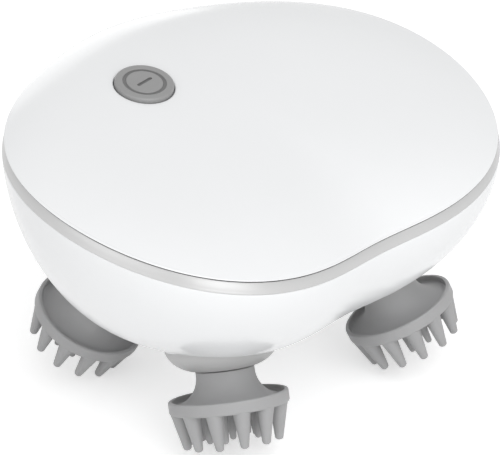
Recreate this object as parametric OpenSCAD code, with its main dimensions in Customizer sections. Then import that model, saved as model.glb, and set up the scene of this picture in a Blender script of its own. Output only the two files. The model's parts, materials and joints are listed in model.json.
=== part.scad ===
// Palm-sized electric scalp massager.
// A bean-shaped white case stands on four tilted, rotating finger heads.
// One gearmotor turns two meshed gears, and each gear turns two heads through bevel teeth.
// Millimetres, +Z up. The origin is on the floor below the middle of the case.
// Inside this file every piece is drawn with z = 0 at the underside of the case,
// and lift() raises it by the height at which the lowest fingertips touch the floor.

/* [Case outline] */
// Length of the case along X
body_l = 119.7; // [114:0.1:126]
// How much longer than wide the outline is
plan_oval = 0.143; // [0.12:0.001:0.16]
// How much the corners of the outline are filled out
plan_square = 0.014; // [0:0.001:0.02]
// How much fuller the back half is than the front half
plan_egg = -0.016; // [-0.03:0.001:0.01]
// Depth of the grip waist in the front side
plan_waist = 0.04; // [0.02:0.001:0.05]
// Sharpness of that waist
plan_side = 0.018; // [0:0.001:0.025]

/* [Lower shell] */
// Depth of the bowl below the trim ring, at the middle of its edge
bowl_h = 42.8; // [41:0.1:46]
// Roundness of the bowl, 2 is an ellipse
bowl_n = 1.856; // [1.7:0.001:2.2]
// Half length of the flat underside
flat_l = 21.2; // [18:0.1:24]
// Half width of the flat underside
flat_w = 10.6; // [9:0.1:13]
// Wall thickness of the shell and the cover
wall = 2.2; // [1.8:0.1:2.6]
// Radius of the raised rest pad on the underside
pad_r = 9; // [7:0.1:10]
// How far the rest pad stands out
pad_t = 0.5; // [0.3:0.1:0.8]

/* [Trim ring and gasket] */
// Height of the trim ring and gasket together
band_h = 3.07; // [2.6:0.01:3.6]
// How far the foot of the trim ring stands out from the cover edge
band_out = 0.61; // [0.3:0.01:0.8]
// Rise of the band towards the back
band_tilt = 10.76; // [9:0.01:12]
// Rise of the band at both ends
band_wave = 1.98; // [1:0.01:2.4]
// Visible thickness of the gasket
gasket_t = 0.45; // [0.3:0.01:0.6]
// How far the gasket sits back from the cover edge
gasket_in = 0.15; // [0.1:0.01:0.3]
// Gap between the seated faces of the ring, gasket, shell and cover
seat_gap = 0.03; // [0.02:0.01:0.06]
// Radial depth of the trim ring behind the cover edge
ring_in = 1; // [0.8:0.1:1.2]
// Thickness of the shell's tongue behind the trim ring
tongue_t = 1.2; // [1:0.1:1.5]

/* [Top cover] */
// Height of the crown above the band plane
crown_h = 4.95; // [3.5:0.01:6]
// Flatness of the crown, more is flatter with a tighter edge
crown_m = 4.75; // [3:0.01:5]
// How much the crown's highest point moves to the back
crown_shift = 0.26; // [0:0.01:0.6]
// Thickness of the locating lip inside the rim
lip_t = 1.25; // [1:0.05:1.6]
// Depth of the locating lip
lip_h = 3.5; // [2.5:0.1:4]
// Gap between the lip and the shell's tongue
lip_gap = 0.15; // [0.1:0.01:0.3]

/* [Power button] */
// Distance of the button from the middle, along X
btn_x = -16.2; // [-18:0.1:-14]
// Distance of the button from the middle, along Y
btn_y = 15.8; // [13:0.1:18]
// Radius of the button cap
btn_r = 6.85; // [6:0.05:7.5]
// How far the cap stands above the cover
btn_proud = 0.9; // [0.6:0.1:1.3]
// Thickness of the button cap
btn_t = 1.8; // [1.5:0.1:2.2]
// Button travel
btn_travel = 0.6; // [0.3:0.05:0.7]
// Gap round the button cap
btn_gap = 0.2; // [0.15:0.01:0.3]
// Outer radius of the engraved ring
mark_r = 5.05; // [4:0.05:5.4]
// Width of the engraved lines
mark_w = 0.85; // [0.5:0.05:1]
// Depth of the engraved lines
mark_d = 0.3; // [0.2:0.05:0.5]
// Length of the engraved bar
mark_l = 4.8; // [4:0.1:6]
// Turn of the bar about the button's axis
mark_turn = 9; // [0:1:20]
// Radius of the button stem
stem_r = 2.8; // [2.4:0.1:3]

/* [Heads] */
// Distance of each head from the middle, along X
head_x = 27.6; // [27:0.1:28.5]
// Distance of each head from the middle, along Y
head_y = 24; // [23.6:0.1:24.8]
// Drop of the head discs' upper plane below the underside
head_drop = 4.43; // [4:0.01:5]
// Outward tilt of the heads' axes
tilt = 27.5; // [26.5:0.05:28]
// Direction of the tilt, from the X axis
lean = 62.2; // [61.5:0.1:63.5]
// Radius of the finger disc
disc_r = 13.7; // [13:0.1:14.2]
// Thickness of the finger disc
disc_t = 2.95; // [2.7:0.01:3.6]
// Radius of the neck
neck_r = 6.7; // [6.3:0.1:7]
// Length of the neck above the disc
neck_l = 6; // [5.7:0.1:6.1]
// Radius of the flare between the neck and the disc
flare_r = 6.4; // [6:0.1:6.8]
// Depth of the dish round the flare
dish_d = 1.4; // [1.2:0.1:1.5]
// Width of the disc's rim
rim_w = 0.9; // [0.7:0.1:1.3]

/* [Fingers] */
// Length of the outer fingers
finger_l = 8.2; // [7:0.1:9.5]
// Radius of an outer finger at its root
finger_r = 1.95; // [1.6:0.05:2.1]
// Radius of an outer finger near its tip
finger_tip = 0.84; // [0.7:0.01:1]
// Distance of the outer fingers from the head's axis
finger_ring = 11.5; // [10.8:0.1:11.6]
// Inward lean of the outer fingers
finger_lean = 6; // [0:0.5:9]
// Number of outer fingers on each head
finger_n = 12; // [10:1:12]
// Length of the inner fingers
inner_l = 7.4; // [6:0.1:8]
// Radius of an inner finger at its root
inner_r = 1.35; // [1:0.05:1.5]
// Radius of an inner finger near its tip
inner_tip = 0.65; // [0.5:0.01:0.8]
// Distance of the inner fingers from the head's axis
inner_ring = 5.9; // [5:0.1:6.4]
// Number of inner fingers round the middle one
inner_n = 8; // [6:1:8]

/* [Collars] */
// Gap between the neck and the collar
neck_gap = 0.2; // [0.2:0.05:0.4]
// Radius of the collar's lower face
collar_r1 = 6.75; // [6.5:0.05:7.2]
// Largest radius of the collar
collar_r = 13; // [12.5:0.1:13.4]
// Height of the collar's rounded cone
collar_h = 5.2; // [4.6:0.1:5.4]
// Roundness of that cone, 1 is straight
collar_n = 1.7; // [1.5:0.05:2]
// Depth of the screws' thread in the collar
collar_thread = 3.2; // [2.8:0.1:3.4]
// Radius of the collar's spigot in the shell
spigot_r = 11.4; // [11:0.1:11.6]
// Height of the collar's spigot
spigot_h = 2.2; // [2:0.1:2.3]
// Thickness of the shell's seat over the collar
seat_t = 1.9; // [1.7:0.1:2]
// Radius of the circle of the collar's screws
collar_screw_pcr = 8.8; // [8.2:0.1:8.9]
// Wall of the shell's boss round each collar's screws
boss_wall = 1.9; // [1.5:0.1:2]
// Height of the wells over the collar screws
well_h = 6; // [5:0.5:8]

/* [Spindles and seals] */
// Radius of the spindles
spindle_r = 2; // [1.8:0.05:2.2]
// Radial running clearance of every shaft
run_gap = 0.05; // [0.03:0.01:0.08]
// Gap between pressed or moulded pieces
fit_gap = 0.01; // [0:0.01:0.02]
// Depth of the flat on the spindle's lower end
spindle_flat = 0.5; // [0.3:0.1:0.8]
// Radius of the shoulder below the spindle gear
shoulder_r = 3; // [2.6:0.1:3.4]
// Length of each spindle's shoulder under its bevel pinion
shoulder_l = 1.2; // [1:0.1:1.3]
// Outer radius of the shaft seals
seal_r = 4.5; // [4:0.1:5]
// Thickness of the shaft seals
seal_t = 2.2; // [1.8:0.1:2.4]
// Outer radius of the spindle bushes
bush_r = 3.4; // [3:0.1:3.6]
// Radius of the spindle bush flange
bush_flange_r = 4.4; // [4:0.1:4.8]
// Thickness of the bush flange
bush_flange_t = 0.8; // [0.6:0.1:1]
// Length of the bushes in the plate's bosses
bush_l = 3.4; // [3:0.1:3.8]
// Radius of the hub moulded into each claw
hub_r = 4.6; // [4.2:0.1:5]
// Radius of the hub's flange
hub_flange_r = 8.4; // [7.5:0.1:8.6]
// Thickness of the hub's flange
hub_flange_t = 1.2; // [1:0.1:1.3]

/* [Gears] */
// Teeth of each main gear's lower toothing
main_teeth = 34; // [34:1:34]
// Teeth of the drive pinion
drive_teeth = 12; // [12:1:12]
// Teeth of each main gear's bevel toothing
bevel_teeth = 26; // [26:1:26]
// Teeth of each spindle gear
spindle_teeth = 13; // [13:1:13]
// Pitch radius of the spindle gears at their large end
spindle_gear_r = 5.7; // [5.6:0.05:5.8]
// Radius of the spindle gears' hubs
bevel_hub_r = 4; // [3.8:0.1:4.2]
// Height of those hubs beyond each end of the teeth
bevel_hub_d = 0.6; // [0.5:0.05:0.7]
// Face width of the bevel teeth
bevel_w = 6; // [5:0.1:6.1]
// Height of the lower toothing above the underside
main_z = 8.3; // [8.2:0.1:8.5]
// Face width of the lower toothing
main_w = 4.3; // [4:0.1:4.4]
// Radius of the gear axles
axle_r = 1.5; // [1.3:0.05:1.7]
// Depth of each main gear's axle in the shell below the gear
axle_sink = 3.4; // [3:0.1:3.6]
// Radius of the shell's bosses under the gears and the pinion
gear_boss_r = 3.5; // [3.2:0.1:4]
// Radius of the hub of each main gear
gear_hub_r = 4; // [3.6:0.1:4.4]
// Radius of the drive pinion's hub
pinion_hub_r = 3.4; // [3:0.1:3.8]
// Height of the drive pinion's hub above its teeth
pinion_hub_h = 2.8; // [2.4:0.1:3]
// Tooth thinning on each flank
tooth_thin = 0.07; // [0.05:0.01:0.1]
// Distance of the drive shaft from the middle, along X
drive_x = -1.6; // [-2.2:0.1:-1.2]
// Radius of the drive shaft
drive_r = 1.5; // [1.3:0.05:1.7]

/* [Bearing plate] */
// Height of the plate above the underside
plate_z = 24.2; // [24.1:0.1:24.8]
// Thickness of the plate
plate_t = 2; // [1.8:0.1:2.4]
// Length of the plate
plate_l = 62; // [60:1:64]
// Width of the plate as a share of the case's length
plate_w_share = 0.535; // [0.52:0.001:0.55]
// Radius of the plate's corners
plate_corner = 14; // [12:0.5:15]
// Distance of the plate's posts from the middle along X, as a share of the case's length
post_x_share = 0.117; // [0.113:0.001:0.121]
// Distance of the plate's posts from the middle along Y, as a share of the case's length
post_y_share = 0.2256; // [0.222:0.0001:0.229]
// Radius of the posts
post_r = 3; // [2.8:0.1:3.2]

/* [Motor] */
// Radius of the gearbox
gearbox_r = 11; // [10.5:0.1:11.2]
// Height of the gearbox
gearbox_h = 9; // [8:0.1:9.5]
// How far the gearbox hangs below the plate
gearbox_sink = 3.7; // [3:0.1:4.2]
// Width of the gearbox's ears
ear_w = 5.2; // [4.6:0.1:5.6]
// Thickness of the gearbox's ears
ear_t = 1.5; // [1.2:0.1:2]
// Radius of the motor can
motor_r = 12; // [11:0.1:12.2]
// Height of the motor can
motor_h = 11; // [10:0.1:11.5]
// Thickness of the motor's end cap
motor_cap_t = 1.5; // [1:0.1:1.8]

/* [Battery] */
// Battery length
cell_l = 50; // [46:0.5:50]
// Battery width
cell_w = 30; // [28:0.5:30]
// Battery thickness
cell_t = 8; // [6:0.1:8]
// Position of the battery's middle, along Y
cell_y = -14.5; // [-15:0.1:-14.3]
// Height of the battery's bed above the plate
bed_t = 3; // [2.8:0.1:3.2]
// Thickness of the wall round the battery
bed_wall = 1.6; // [1.2:0.1:1.8]
// Height of that wall above the bed
bed_lip = 3; // [2:0.1:3.5]
// Distance from the plate screws to the bed's front edge
bed_margin = 4.1; // [3.9:0.1:4.4]
// Gap between the bed's middle opening and the holes over the plate screws
bed_web = 0.5; // [0.4:0.1:0.8]

/* [Board] */
// Length of the board
board_l = 39; // [36:0.5:40]
// Width of the board
board_w = 24; // [22:0.5:25]
// Thickness of the board
board_t = 1.6; // [1.2:0.1:1.7]
// Depth of the board's upper face below the cover's surface
board_z = 7; // [6.9:0.1:7.3]
// Distance of the board's middle from the button, along X
board_x = 4.5; // [4:0.1:5]
// Side of the switch
switch_w = 6; // [5.5:0.1:6.5]
// Height of the switch
switch_h = 3.1; // [2.8:0.1:3.1]
// Radius of the switch plunger
plunger_r = 1.7; // [1.4:0.1:1.8]

/* [Charging pad] */
// Height of the charging pad above the underside
dock_z = 34; // [31:0.1:37]
// Width of the charging pad
dock_w = 22; // [20:0.1:23]
// Height of the charging pad
dock_h = 8; // [7:0.1:8.5]
// Depth of the pad's face below the case's surface
dock_sink = 1.9; // [1.7:0.1:2.2]
// Thickness of the case behind the pad
dock_t = 3; // [2.8:0.1:3.4]
// Wall round the charging pad's recess
dock_wall = 1.5; // [1.2:0.1:2]
// How far out the charging pad's recess is cut
dock_reach = 8; // [6:0.5:10]
// Distance between the two contacts
contact_gap = 6; // [5:0.1:7]
// Radius of the contacts' heads
contact_r = 1.6; // [1.3:0.1:1.8]
// Radius of the contacts' pins
contact_pin_r = 0.9; // [0.7:0.05:1]
// Radius of the magnets
magnet_r = 2.5; // [2:0.1:2.6]
// Distance of the magnets from the middle
magnet_x = 7.6; // [7:0.1:8]
// Thickness of the magnets
magnet_t = 1.6; // [1.2:0.1:1.8]

/* [Screws] */
// Radius of the small screws' thread
screw_r = 1; // [0.9:0.05:1.1]
// Radial clearance of screws in their through holes
screw_gap = 0.15; // [0.1:0.05:0.2]
// Radius of the small screws' head
screw_head_r = 1.9; // [1.7:0.1:2]
// Height of the small screws' head
screw_head_h = 1.3; // [1.1:0.1:1.4]
// Distance of the cover screws from the middle
cover_screw_x = 36.5; // [36:0.1:37.5]
// Radius of the cover screws' thread
cover_screw_r = 1.3; // [1.2:0.05:1.5]
// Distance from the case's parting line down to the cover screws' heads
cover_screw_sink = 10; // [9:0.1:11]
// Radius of the cover screws' head
cover_head_r = 2.3; // [2.2:0.1:2.5]
// Height of the cover screws' head
cover_head_h = 1.6; // [1.3:0.1:1.8]
// Length of the cover screws' thread
cover_screw_l = 18; // [16:0.5:19]
// Length of the plate screws' thread
plate_screw_l = 7.5; // [6:0.5:8]
// Length of the board screws' thread
board_screw_l = 4.4; // [4:0.1:4.6]
// Height at which the cover's posts meet the shell's posts
split_z = 24; // [20:0.5:26]

/* [Hidden] */

white = [0.93, 0.94, 0.95];
grey = [0.62, 0.62, 0.63];
silver = [0.76, 0.77, 0.78];
rnd = 64;

// ---------- outline ----------
plan_n = 72;
plan_base = body_l / 2 / (1 + plan_oval - plan_square);

function plan_raw(a) = plan_base * (1 + plan_egg * sin(a) + plan_oval * cos(2 * a)
  - plan_waist * sin(3 * a) - plan_square * cos(4 * a) + plan_side * sin(5 * a));

plan_ys = [for (a = [0 : 1 : 359]) plan_raw(a) * sin(a)];
plan_cy = (max(plan_ys) + min(plan_ys)) / 2;
plan_half = (max(plan_ys) - min(plan_ys)) / 2;

// Point of the outline at angle a, moved out by off
function plan_pt(a, off) = [
  (plan_raw(a) + off) * cos(a),
  (plan_raw(a) + off) * sin(a) - plan_cy];

// Height of the cover's edge at angle a
band_mid = bowl_h + band_h;
function edge_z(a) = band_mid + band_wave * cos(2 * a) + band_tilt * sin(a);

// Height of the cover's outer surface at angle a and share r of the radius
function crown_z(a, r) = let (
  y = plan_raw(a) * sin(a) / plan_half,
  plane = band_tilt * y)
  band_mid + plane * r + (edge_z(a) - band_mid - plane) * r * r
  + crown_h * (1 - pow(r, crown_m)) * (1 + crown_shift * y * r);

// The same at a point
function cover_z(x, y) = let (
  a = atan2(y + plan_cy, x),
  r = norm([x, y + plan_cy]) / plan_raw(a))
  crown_z(a, min(r, 1));

// Point of the bowl at angle a and share p of a quarter turn, moved in by off
function bowl_pt(a, p, off, floor_z, rim_z) = let (
  rim = plan_pt(a, band_out - off),
  b = atan2(rim[1], rim[0]),
  foot_r = 1 / sqrt(pow(cos(b) / (flat_l - off * 0.3), 2)
    + pow(sin(b) / (flat_w - off * 0.3), 2)),
  c = pow(cos(90 * p), 2 / bowl_n),
  s = pow(sin(90 * p), 2 / bowl_n),
  foot = [foot_r * cos(b), foot_r * sin(b)])
  [foot[0] + (rim[0] - foot[0]) * c, foot[1] + (rim[1] - foot[1]) * c,
   floor_z + (rim_z - floor_z) * (1 - s)];

angles = [for (i = [0 : plan_n - 1]) i * 360 / plan_n];

// Distance of the bowl's surface from the middle, at height z of its back
function back_y(z) = let (rim = edge_z(90) - band_h)
  bowl_pt(90, asin(pow(1 - z / rim, bowl_n / 2)) / 90, 0, 0, rim)[1];
dock_tilt = atan((back_y(dock_z + 2) - back_y(dock_z - 2)) / 4);

// ---------- bearing plate's outline and posts ----------
plate_w = body_l * plate_w_share;
post_x = body_l * post_x_share;
post_y = body_l * post_y_share;

// ---------- heads ----------
signs = [[-1, -1], [1, -1], [-1, 1], [1, 1]];
function head_az(i) = atan2(signs[i][1] * sin(lean), signs[i][0] * cos(lean));
finger_pts = [[0, 0], [finger_r, 0], [finger_tip, finger_l - 0.65],
  [finger_tip * 0.72, finger_l - 0.2], [finger_tip * 0.3, finger_l], [0, finger_l]];
finger_reach = max([for (p = finger_pts)
  p[1] * cos(tilt + finger_lean) + p[0] * sin(tilt + finger_lean)]);
stand_h = head_drop + disc_t * cos(tilt) + finger_ring * sin(tilt) + finger_reach;

// Stations along each head's axis, from the disc's upper plane
collar_d = neck_l + neck_gap;
seat_d = collar_d + collar_h;
seal_d = seat_d + spigot_h - seal_t;
boss_top_d = seat_d + spigot_h + seat_t;
boss_end = boss_top_d + well_h;
well_r = collar_r - boss_wall;
// Where the heads' axes cross the axes of the main gears
apex_d = head_y / (sin(tilt) * sin(lean));
axle_x = head_x - apex_d * sin(tilt) * cos(lean);
apex_z = -head_drop + apex_d * cos(tilt);

// ---------- gears ----------
pressure = 20;
cone_s = atan(sin(tilt) / (bevel_teeth / spindle_teeth + cos(tilt)));
cone_m = tilt - cone_s;
cone_l = spindle_gear_r / sin(cone_s);
bevel_r = cone_l * sin(cone_m);
bevel_z = apex_z - cone_l * cos(cone_m);
bevel_h = bevel_w * cos(cone_m);
spindle_gear_d = apex_d - cone_l * cos(cone_s);
spindle_gear_h = bevel_w * cos(cone_s);
bevel_m = 2 * spindle_gear_r / spindle_teeth;
main_m = 2 * axle_x / main_teeth;
drive_c = (main_teeth + drive_teeth) / 2 * main_m;
drive_y = sqrt(pow(drive_c, 2) - pow(drive_x + axle_x, 2));
drive_az = atan2(drive_y, drive_x + axle_x);
gear_top = plate_z - 0.4;

// Angle of gear 2's first tooth that puts it in mesh with gear 1.
// psi points from gear 1 to gear 2, back is the direction from 2 to 1 in gear 2's own frame.
function mesh_phase(psi, t1, p1, back, p2) = back - p2 * (0.5 - (psi - t1) / p1);
main_p = 360 / main_teeth;
phase_left = 0;
phase_right = mesh_phase(0, phase_left, main_p, 180, main_p);
phase_drive = mesh_phase(drive_az, phase_left, main_p, drive_az + 180, 360 / drive_teeth);
function phase_spindle(i) =
  mesh_phase(head_az(i), 0, 360 / bevel_teeth, 180, 360 / spindle_teeth);

function inv(a) = tan(a) * 180 / PI - a;
// Half the tooth angle at radius r of a gear with n teeth and pitch radius rp
function half_tooth(n, rp, r) = let (rb = rp * cos(pressure))
  90 / n - tooth_thin / rp * 180 / PI + inv(pressure)
  - (r > rb ? inv(acos(rb / r)) : 0);
// Radii at which each flank is drawn
function flank_radii(rp, m, add, ded) = let (
  rb = rp * cos(pressure), rt = rp + add * m, rr = rp - ded * m, r1 = max(rb, rr))
  [rr, r1, r1 + (rt - r1) * 0.3, r1 + (rt - r1) * 0.65, rt];

function spur_points(n, m, add, ded) = let (
  rp = n * m / 2, rs = flank_radii(rp, m, add, ded))
  [for (k = [0 : n - 1]) each concat(
    [for (j = [0 : 4]) let (h = half_tooth(n, rp, rs[j]))
      rs[j] * [cos(k * 360 / n - h), sin(k * 360 / n - h)]],
    [for (j = [4 : -1 : 0]) let (h = half_tooth(n, rp, rs[j]))
      rs[j] * [cos(k * 360 / n + h), sin(k * 360 / n + h)]])];

// Section of a bevel gear at its large end, drawn from its back cone
function bevel_points(n, m, cone, add, ded) = let (
  rp = n * m / 2, rv = rp / cos(cone), nv = n / cos(cone),
  apex = rp / tan(cone), rs = flank_radii(rv, m, add, ded))
  [for (k = [0 : n - 1]) each concat(
    [for (j = [0 : 4]) bevel_pt(k * 360 / n, -1, rs[j], rv, nv, rp, cone, apex)],
    [for (j = [4 : -1 : 0]) bevel_pt(k * 360 / n, 1, rs[j], rv, nv, rp, cone, apex)])];
function bevel_pt(a, side, r, rv, nv, rp, cone, apex) = let (
  h = half_tooth(nv, rv, r) / cos(cone), e = r - rv,
  q = (rp + e * cos(cone)) * apex / (apex - e * sin(cone)))
  q * [cos(a + side * h), sin(a + side * h)];

// ---------- top frame ----------
btn_top = cover_z(btn_x, btn_y);
top_tilt = atan((cover_z(btn_x, btn_y + 4) - cover_z(btn_x, btn_y - 4)) / 8);
// Depth of the cover's surface below the button's plane, at u, v from the button
function top_drop(u, v) = (btn_top - cover_z(btn_x + u, btn_y + v * cos(top_tilt)))
  * cos(top_tilt) + v * cos(top_tilt) * sin(top_tilt);
board_screw_u = board_l / 2 - 2.8;
board_screw_v = board_w / 2 - 2.8;
pocket_d = btn_t - btn_proud + btn_travel + 0.1;
guide_d = pocket_d + 1.5;
stem_end = guide_d + 0.2;
switch_top = board_z - switch_h;

// ---------- helpers ----------
module lift() { translate([0, 0, stand_h]) children(); }

// Closed body through rings of points, each end closed by a flat cap or a pole
module loft(rings, pole0, pole1) {
  n = len(rings[0]);
  m = len(rings);
  flat = [for (r = rings) each r];
  pts = concat(flat, is_undef(pole0) ? [] : [pole0], is_undef(pole1) ? [] : [pole1]);
  i0 = len(flat);
  i1 = i0 + (is_undef(pole0) ? 0 : 1);
  sides = [for (j = [0 : m - 2], i = [0 : n - 1]) let (k = (i + 1) % n)
    each [[j * n + i, (j + 1) * n + k, j * n + k],
      [j * n + i, (j + 1) * n + i, (j + 1) * n + k]]];
  cap0 = is_undef(pole0) ? [[for (i = [0 : n - 1]) i]]
    : [for (i = [0 : n - 1]) [i, (i + 1) % n, i0]];
  cap1 = is_undef(pole1) ? [[for (i = [n - 1 : -1 : 0]) (m - 1) * n + i]]
    : [for (i = [0 : n - 1]) [(m - 1) * n + (i + 1) % n, (m - 1) * n + i, i1]];
  polyhedron(pts, concat(sides, cap0, cap1), convexity = 6);
}

// Closed band through rings of points, the last joined to the first
module loop(rings) {
  n = len(rings[0]);
  m = len(rings);
  sides = [for (j = [0 : m - 1], i = [0 : n - 1]) let (k = (i + 1) % n, q = (j + 1) % m)
    each [[j * n + i, q * n + k, j * n + k], [j * n + i, q * n + i, q * n + k]]];
  polyhedron([for (r = rings) each r], sides, convexity = 6);
}

// Ring of points at share off inside the edge and dz below it
function edge_ring(off, dz) = [for (a = angles)
  let (p = plan_pt(a, -off)) [p[0], p[1], edge_z(a) - dz]];

module at_head(i) {
  translate([signs[i][0] * head_x, signs[i][1] * head_y, -head_drop])
    rotate([0, 0, head_az(i)]) rotate([0, -tilt, 0]) children();
}

module tube(r, r_in, h) {
  difference() {
    cylinder(r = r, h = h, $fn = rnd);
    translate([0, 0, -1]) cylinder(r = r_in, h = h + 2, $fn = rnd);
  }
}

module at_button() {
  translate([btn_x, btn_y, btn_top]) rotate([top_tilt, 0, 0]) children();
}

module at_board_screws() {
  for (u = [-1, 1], v = [-1, 1])
    translate([board_x + u * board_screw_u, v * board_screw_v, 0]) children();
}

// Pan-head screw, its head's underside at z = 0 and its thread below
module pan_screw(r, head_r, head_h, l) {
  difference() {
    union() {
      cylinder(r = head_r, h = head_h, $fn = rnd);
      translate([0, 0, -l]) cylinder(r = r, h = l + 0.1, $fn = rnd);
    }
    translate([-head_r * 0.55, -0.2, head_h - 0.6]) cube([head_r * 1.1, 0.4, 1]);
    translate([-0.2, -head_r * 0.55, head_h - 0.6]) cube([0.4, head_r * 1.1, 1]);
  }
}

// ---------- case ----------
module case_outer() {
  shares = [1, 0.9, 0.8, 0.68, 0.56, 0.44, 0.32, 0.2, 0.1, 0];
  rings = concat(
    [for (p = shares) [for (a = angles) bowl_pt(a, p, 0, 0, edge_z(a) - band_h)]],
    [edge_ring(ring_in, band_h), edge_ring(ring_in, gasket_t),
     edge_ring(ring_in + tongue_t, gasket_t)]);
  loft(rings, undef, [0, 0, band_mid]);
}

module case_inner() {
  shares = [1, 0.88, 0.74, 0.6, 0.46, 0.32, 0.18, 0.06];
  off = ring_in + tongue_t + band_out;
  rings = concat(
    [for (p = shares) [for (a = angles) bowl_pt(a, p, off, wall, edge_z(a) - band_h)]],
    [edge_ring(ring_in + tongue_t, band_h), edge_ring(ring_in + tongue_t, -2)]);
  loft(rings, undef, [0, 0, band_mid + 8]);
}

// Cylinder along each head's axis, between two stations
module head_bosses(r, d0, d1) {
  for (i = [0 : 3]) at_head(i) translate([0, 0, d0]) cylinder(r = r, h = d1 - d0, $fn = rnd);
}

module at_posts() {
  for (sx = [-1, 1], sy = [-1, 1]) translate([sx * post_x, sy * post_y, 0]) children();
}

module shell_posts() {
  at_posts() cylinder(r = post_r, h = plate_z, $fn = rnd);
  for (sx = [-1, 1]) {
    translate([sx * axle_x, 0, 0]) cylinder(r = gear_boss_r, h = main_z - 0.4, $fn = rnd);
    translate([sx * cover_screw_x, 0, 0]) cylinder(r = cover_head_r + 1.2, h = split_z, $fn = rnd);
  }
  translate([drive_x, drive_y, 0]) cylinder(r = gear_boss_r, h = main_z - 0.8, $fn = rnd);
  at_dock() translate([-dock_w / 2 - dock_wall, -dock_t, -dock_h / 2 - dock_wall])
    cube([dock_w + 2 * dock_wall, dock_t + dock_reach, dock_h + 2 * dock_wall]);
}

// Frame on the charging pad's face, with Y outward
module at_dock() {
  translate([0, back_y(dock_z), dock_z]) rotate([-dock_tilt, 0, 0])
    translate([0, -dock_sink, 0]) children();
}

module lower_shell() {
  color(white) difference() {
    union() {
      case_outer();
      head_bosses(collar_r, seat_d, boss_end);
      translate([0, 0, -pad_t]) cylinder(r = pad_r, h = pad_t + 1, $fn = rnd);
    }
    difference() {
      case_inner();
      head_bosses(collar_r + lip_gap + boss_wall, collar_d, boss_top_d);
      shell_posts();
    }
    head_bosses(collar_r + lip_gap, -disc_t, seat_d);
    for (i = [0 : 3]) at_head(i) {
      translate([0, 0, seat_d - 1])
        cylinder(r = spigot_r + lip_gap, h = spigot_h + 1, $fn = rnd);
      translate([0, 0, boss_top_d]) cylinder(r = well_r, h = boss_end - boss_top_d + 2, $fn = rnd);
      cylinder(r = spindle_r + 0.6, h = boss_end, $fn = rnd);
      at_collar_screws() translate([0, 0, seat_d])
        cylinder(r = screw_r + screw_gap, h = spigot_h + seat_t + 1, $fn = 32);
    }
    at_posts() translate([0, 0, plate_z - 7]) cylinder(r = screw_r + fit_gap, h = 8, $fn = 24);
    for (sx = [-1, 1]) {
      translate([sx * axle_x, 0, main_z - axle_sink])
        cylinder(r = axle_r + fit_gap, h = 5, $fn = rnd);
      translate([sx * cover_screw_x, 0, -1]) {
        cylinder(r = cover_head_r + lip_gap, h = split_z - cover_screw_sink + 1, $fn = rnd);
        cylinder(r = cover_screw_r + screw_gap, h = split_z + 3, $fn = rnd);
      }
    }
    translate([drive_x, drive_y, main_z - 3.2]) cylinder(r = drive_r + run_gap, h = 5, $fn = rnd);
    translate([drive_x, drive_y, main_z - 0.3])
      cylinder(r = (drive_teeth / 2 + 0.9) * main_m + 0.2, h = gear_top - main_z, $fn = rnd);
    at_dock() {
      dock_pocket();
      for (sx = [-1, 1]) {
        translate([sx * contact_gap / 2, 0, 0]) rotate([90, 0, 0]) {
          translate([0, 0, -1]) cylinder(r = contact_pin_r + fit_gap, h = dock_t + 3, $fn = 32);
          translate([0, 0, -1]) cylinder(r = contact_r + fit_gap, h = 1.5, $fn = 32);
        }
        translate([sx * magnet_x, -dock_t - 1, 0]) rotate([-90, 0, 0])
          cylinder(r = magnet_r + fit_gap, h = magnet_t + 1, $fn = rnd);
      }
    }
  }
}

module dock_pocket() {
  for (sx = [-1, 1]) translate([sx * (dock_w - dock_h) / 2, 0, 0]) rotate([-90, 0, 0])
    cylinder(r = dock_h / 2, h = dock_reach, $fn = rnd);
  translate([-(dock_w - dock_h) / 2, 0, -dock_h / 2])
    cube([dock_w - dock_h, dock_reach, dock_h]);
}

module trim_ring() {
  color(silver) loop([
    edge_ring(ring_in - seat_gap, gasket_t), edge_ring(ring_in - seat_gap, band_h - seat_gap),
    edge_ring(-band_out + 0.12, band_h - seat_gap), edge_ring(-band_out, band_h - 0.18),
    edge_ring(-band_out * 0.35, gasket_t + 0.25), edge_ring(0.2, gasket_t)]);
}

module case_gasket() {
  color([0.2, 0.2, 0.21]) loop([
    edge_ring(ring_in + tongue_t, seat_gap), edge_ring(ring_in + tongue_t, gasket_t - seat_gap),
    edge_ring(gasket_in, gasket_t - seat_gap), edge_ring(gasket_in, seat_gap)]);
}

lip_out = ring_in + tongue_t + lip_gap;
lip_in = lip_out + lip_t;
module cover_body() {
  outer = [0.16, 0.34, 0.52, 0.68, 0.8, 0.89, 0.95, 0.985, 1];
  inner = [1, 0.9, 0.76, 0.58, 0.38, 0.18];
  rings = concat(
    [for (r = outer) [for (a = angles) let (p = plan_raw(a) * r)
      [p * cos(a), p * sin(a) - plan_cy, crown_z(a, r)]]],
    [edge_ring(lip_out, 0), edge_ring(lip_out, lip_h), edge_ring(lip_in, lip_h)],
    [for (r = inner) [for (a = angles) let (p = (plan_raw(a) - lip_in) * r)
      [p * cos(a), p * sin(a) - plan_cy,
       crown_z(a, p / plan_raw(a)) - wall * (1 - 0.35 * pow(r, 6))]]]);
  loft([for (j = [len(rings) - 1 : -1 : 0]) rings[j]],
    [0, -plan_cy, crown_z(0, 0) - wall], [0, -plan_cy, crown_z(0, 0)]);
}

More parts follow.
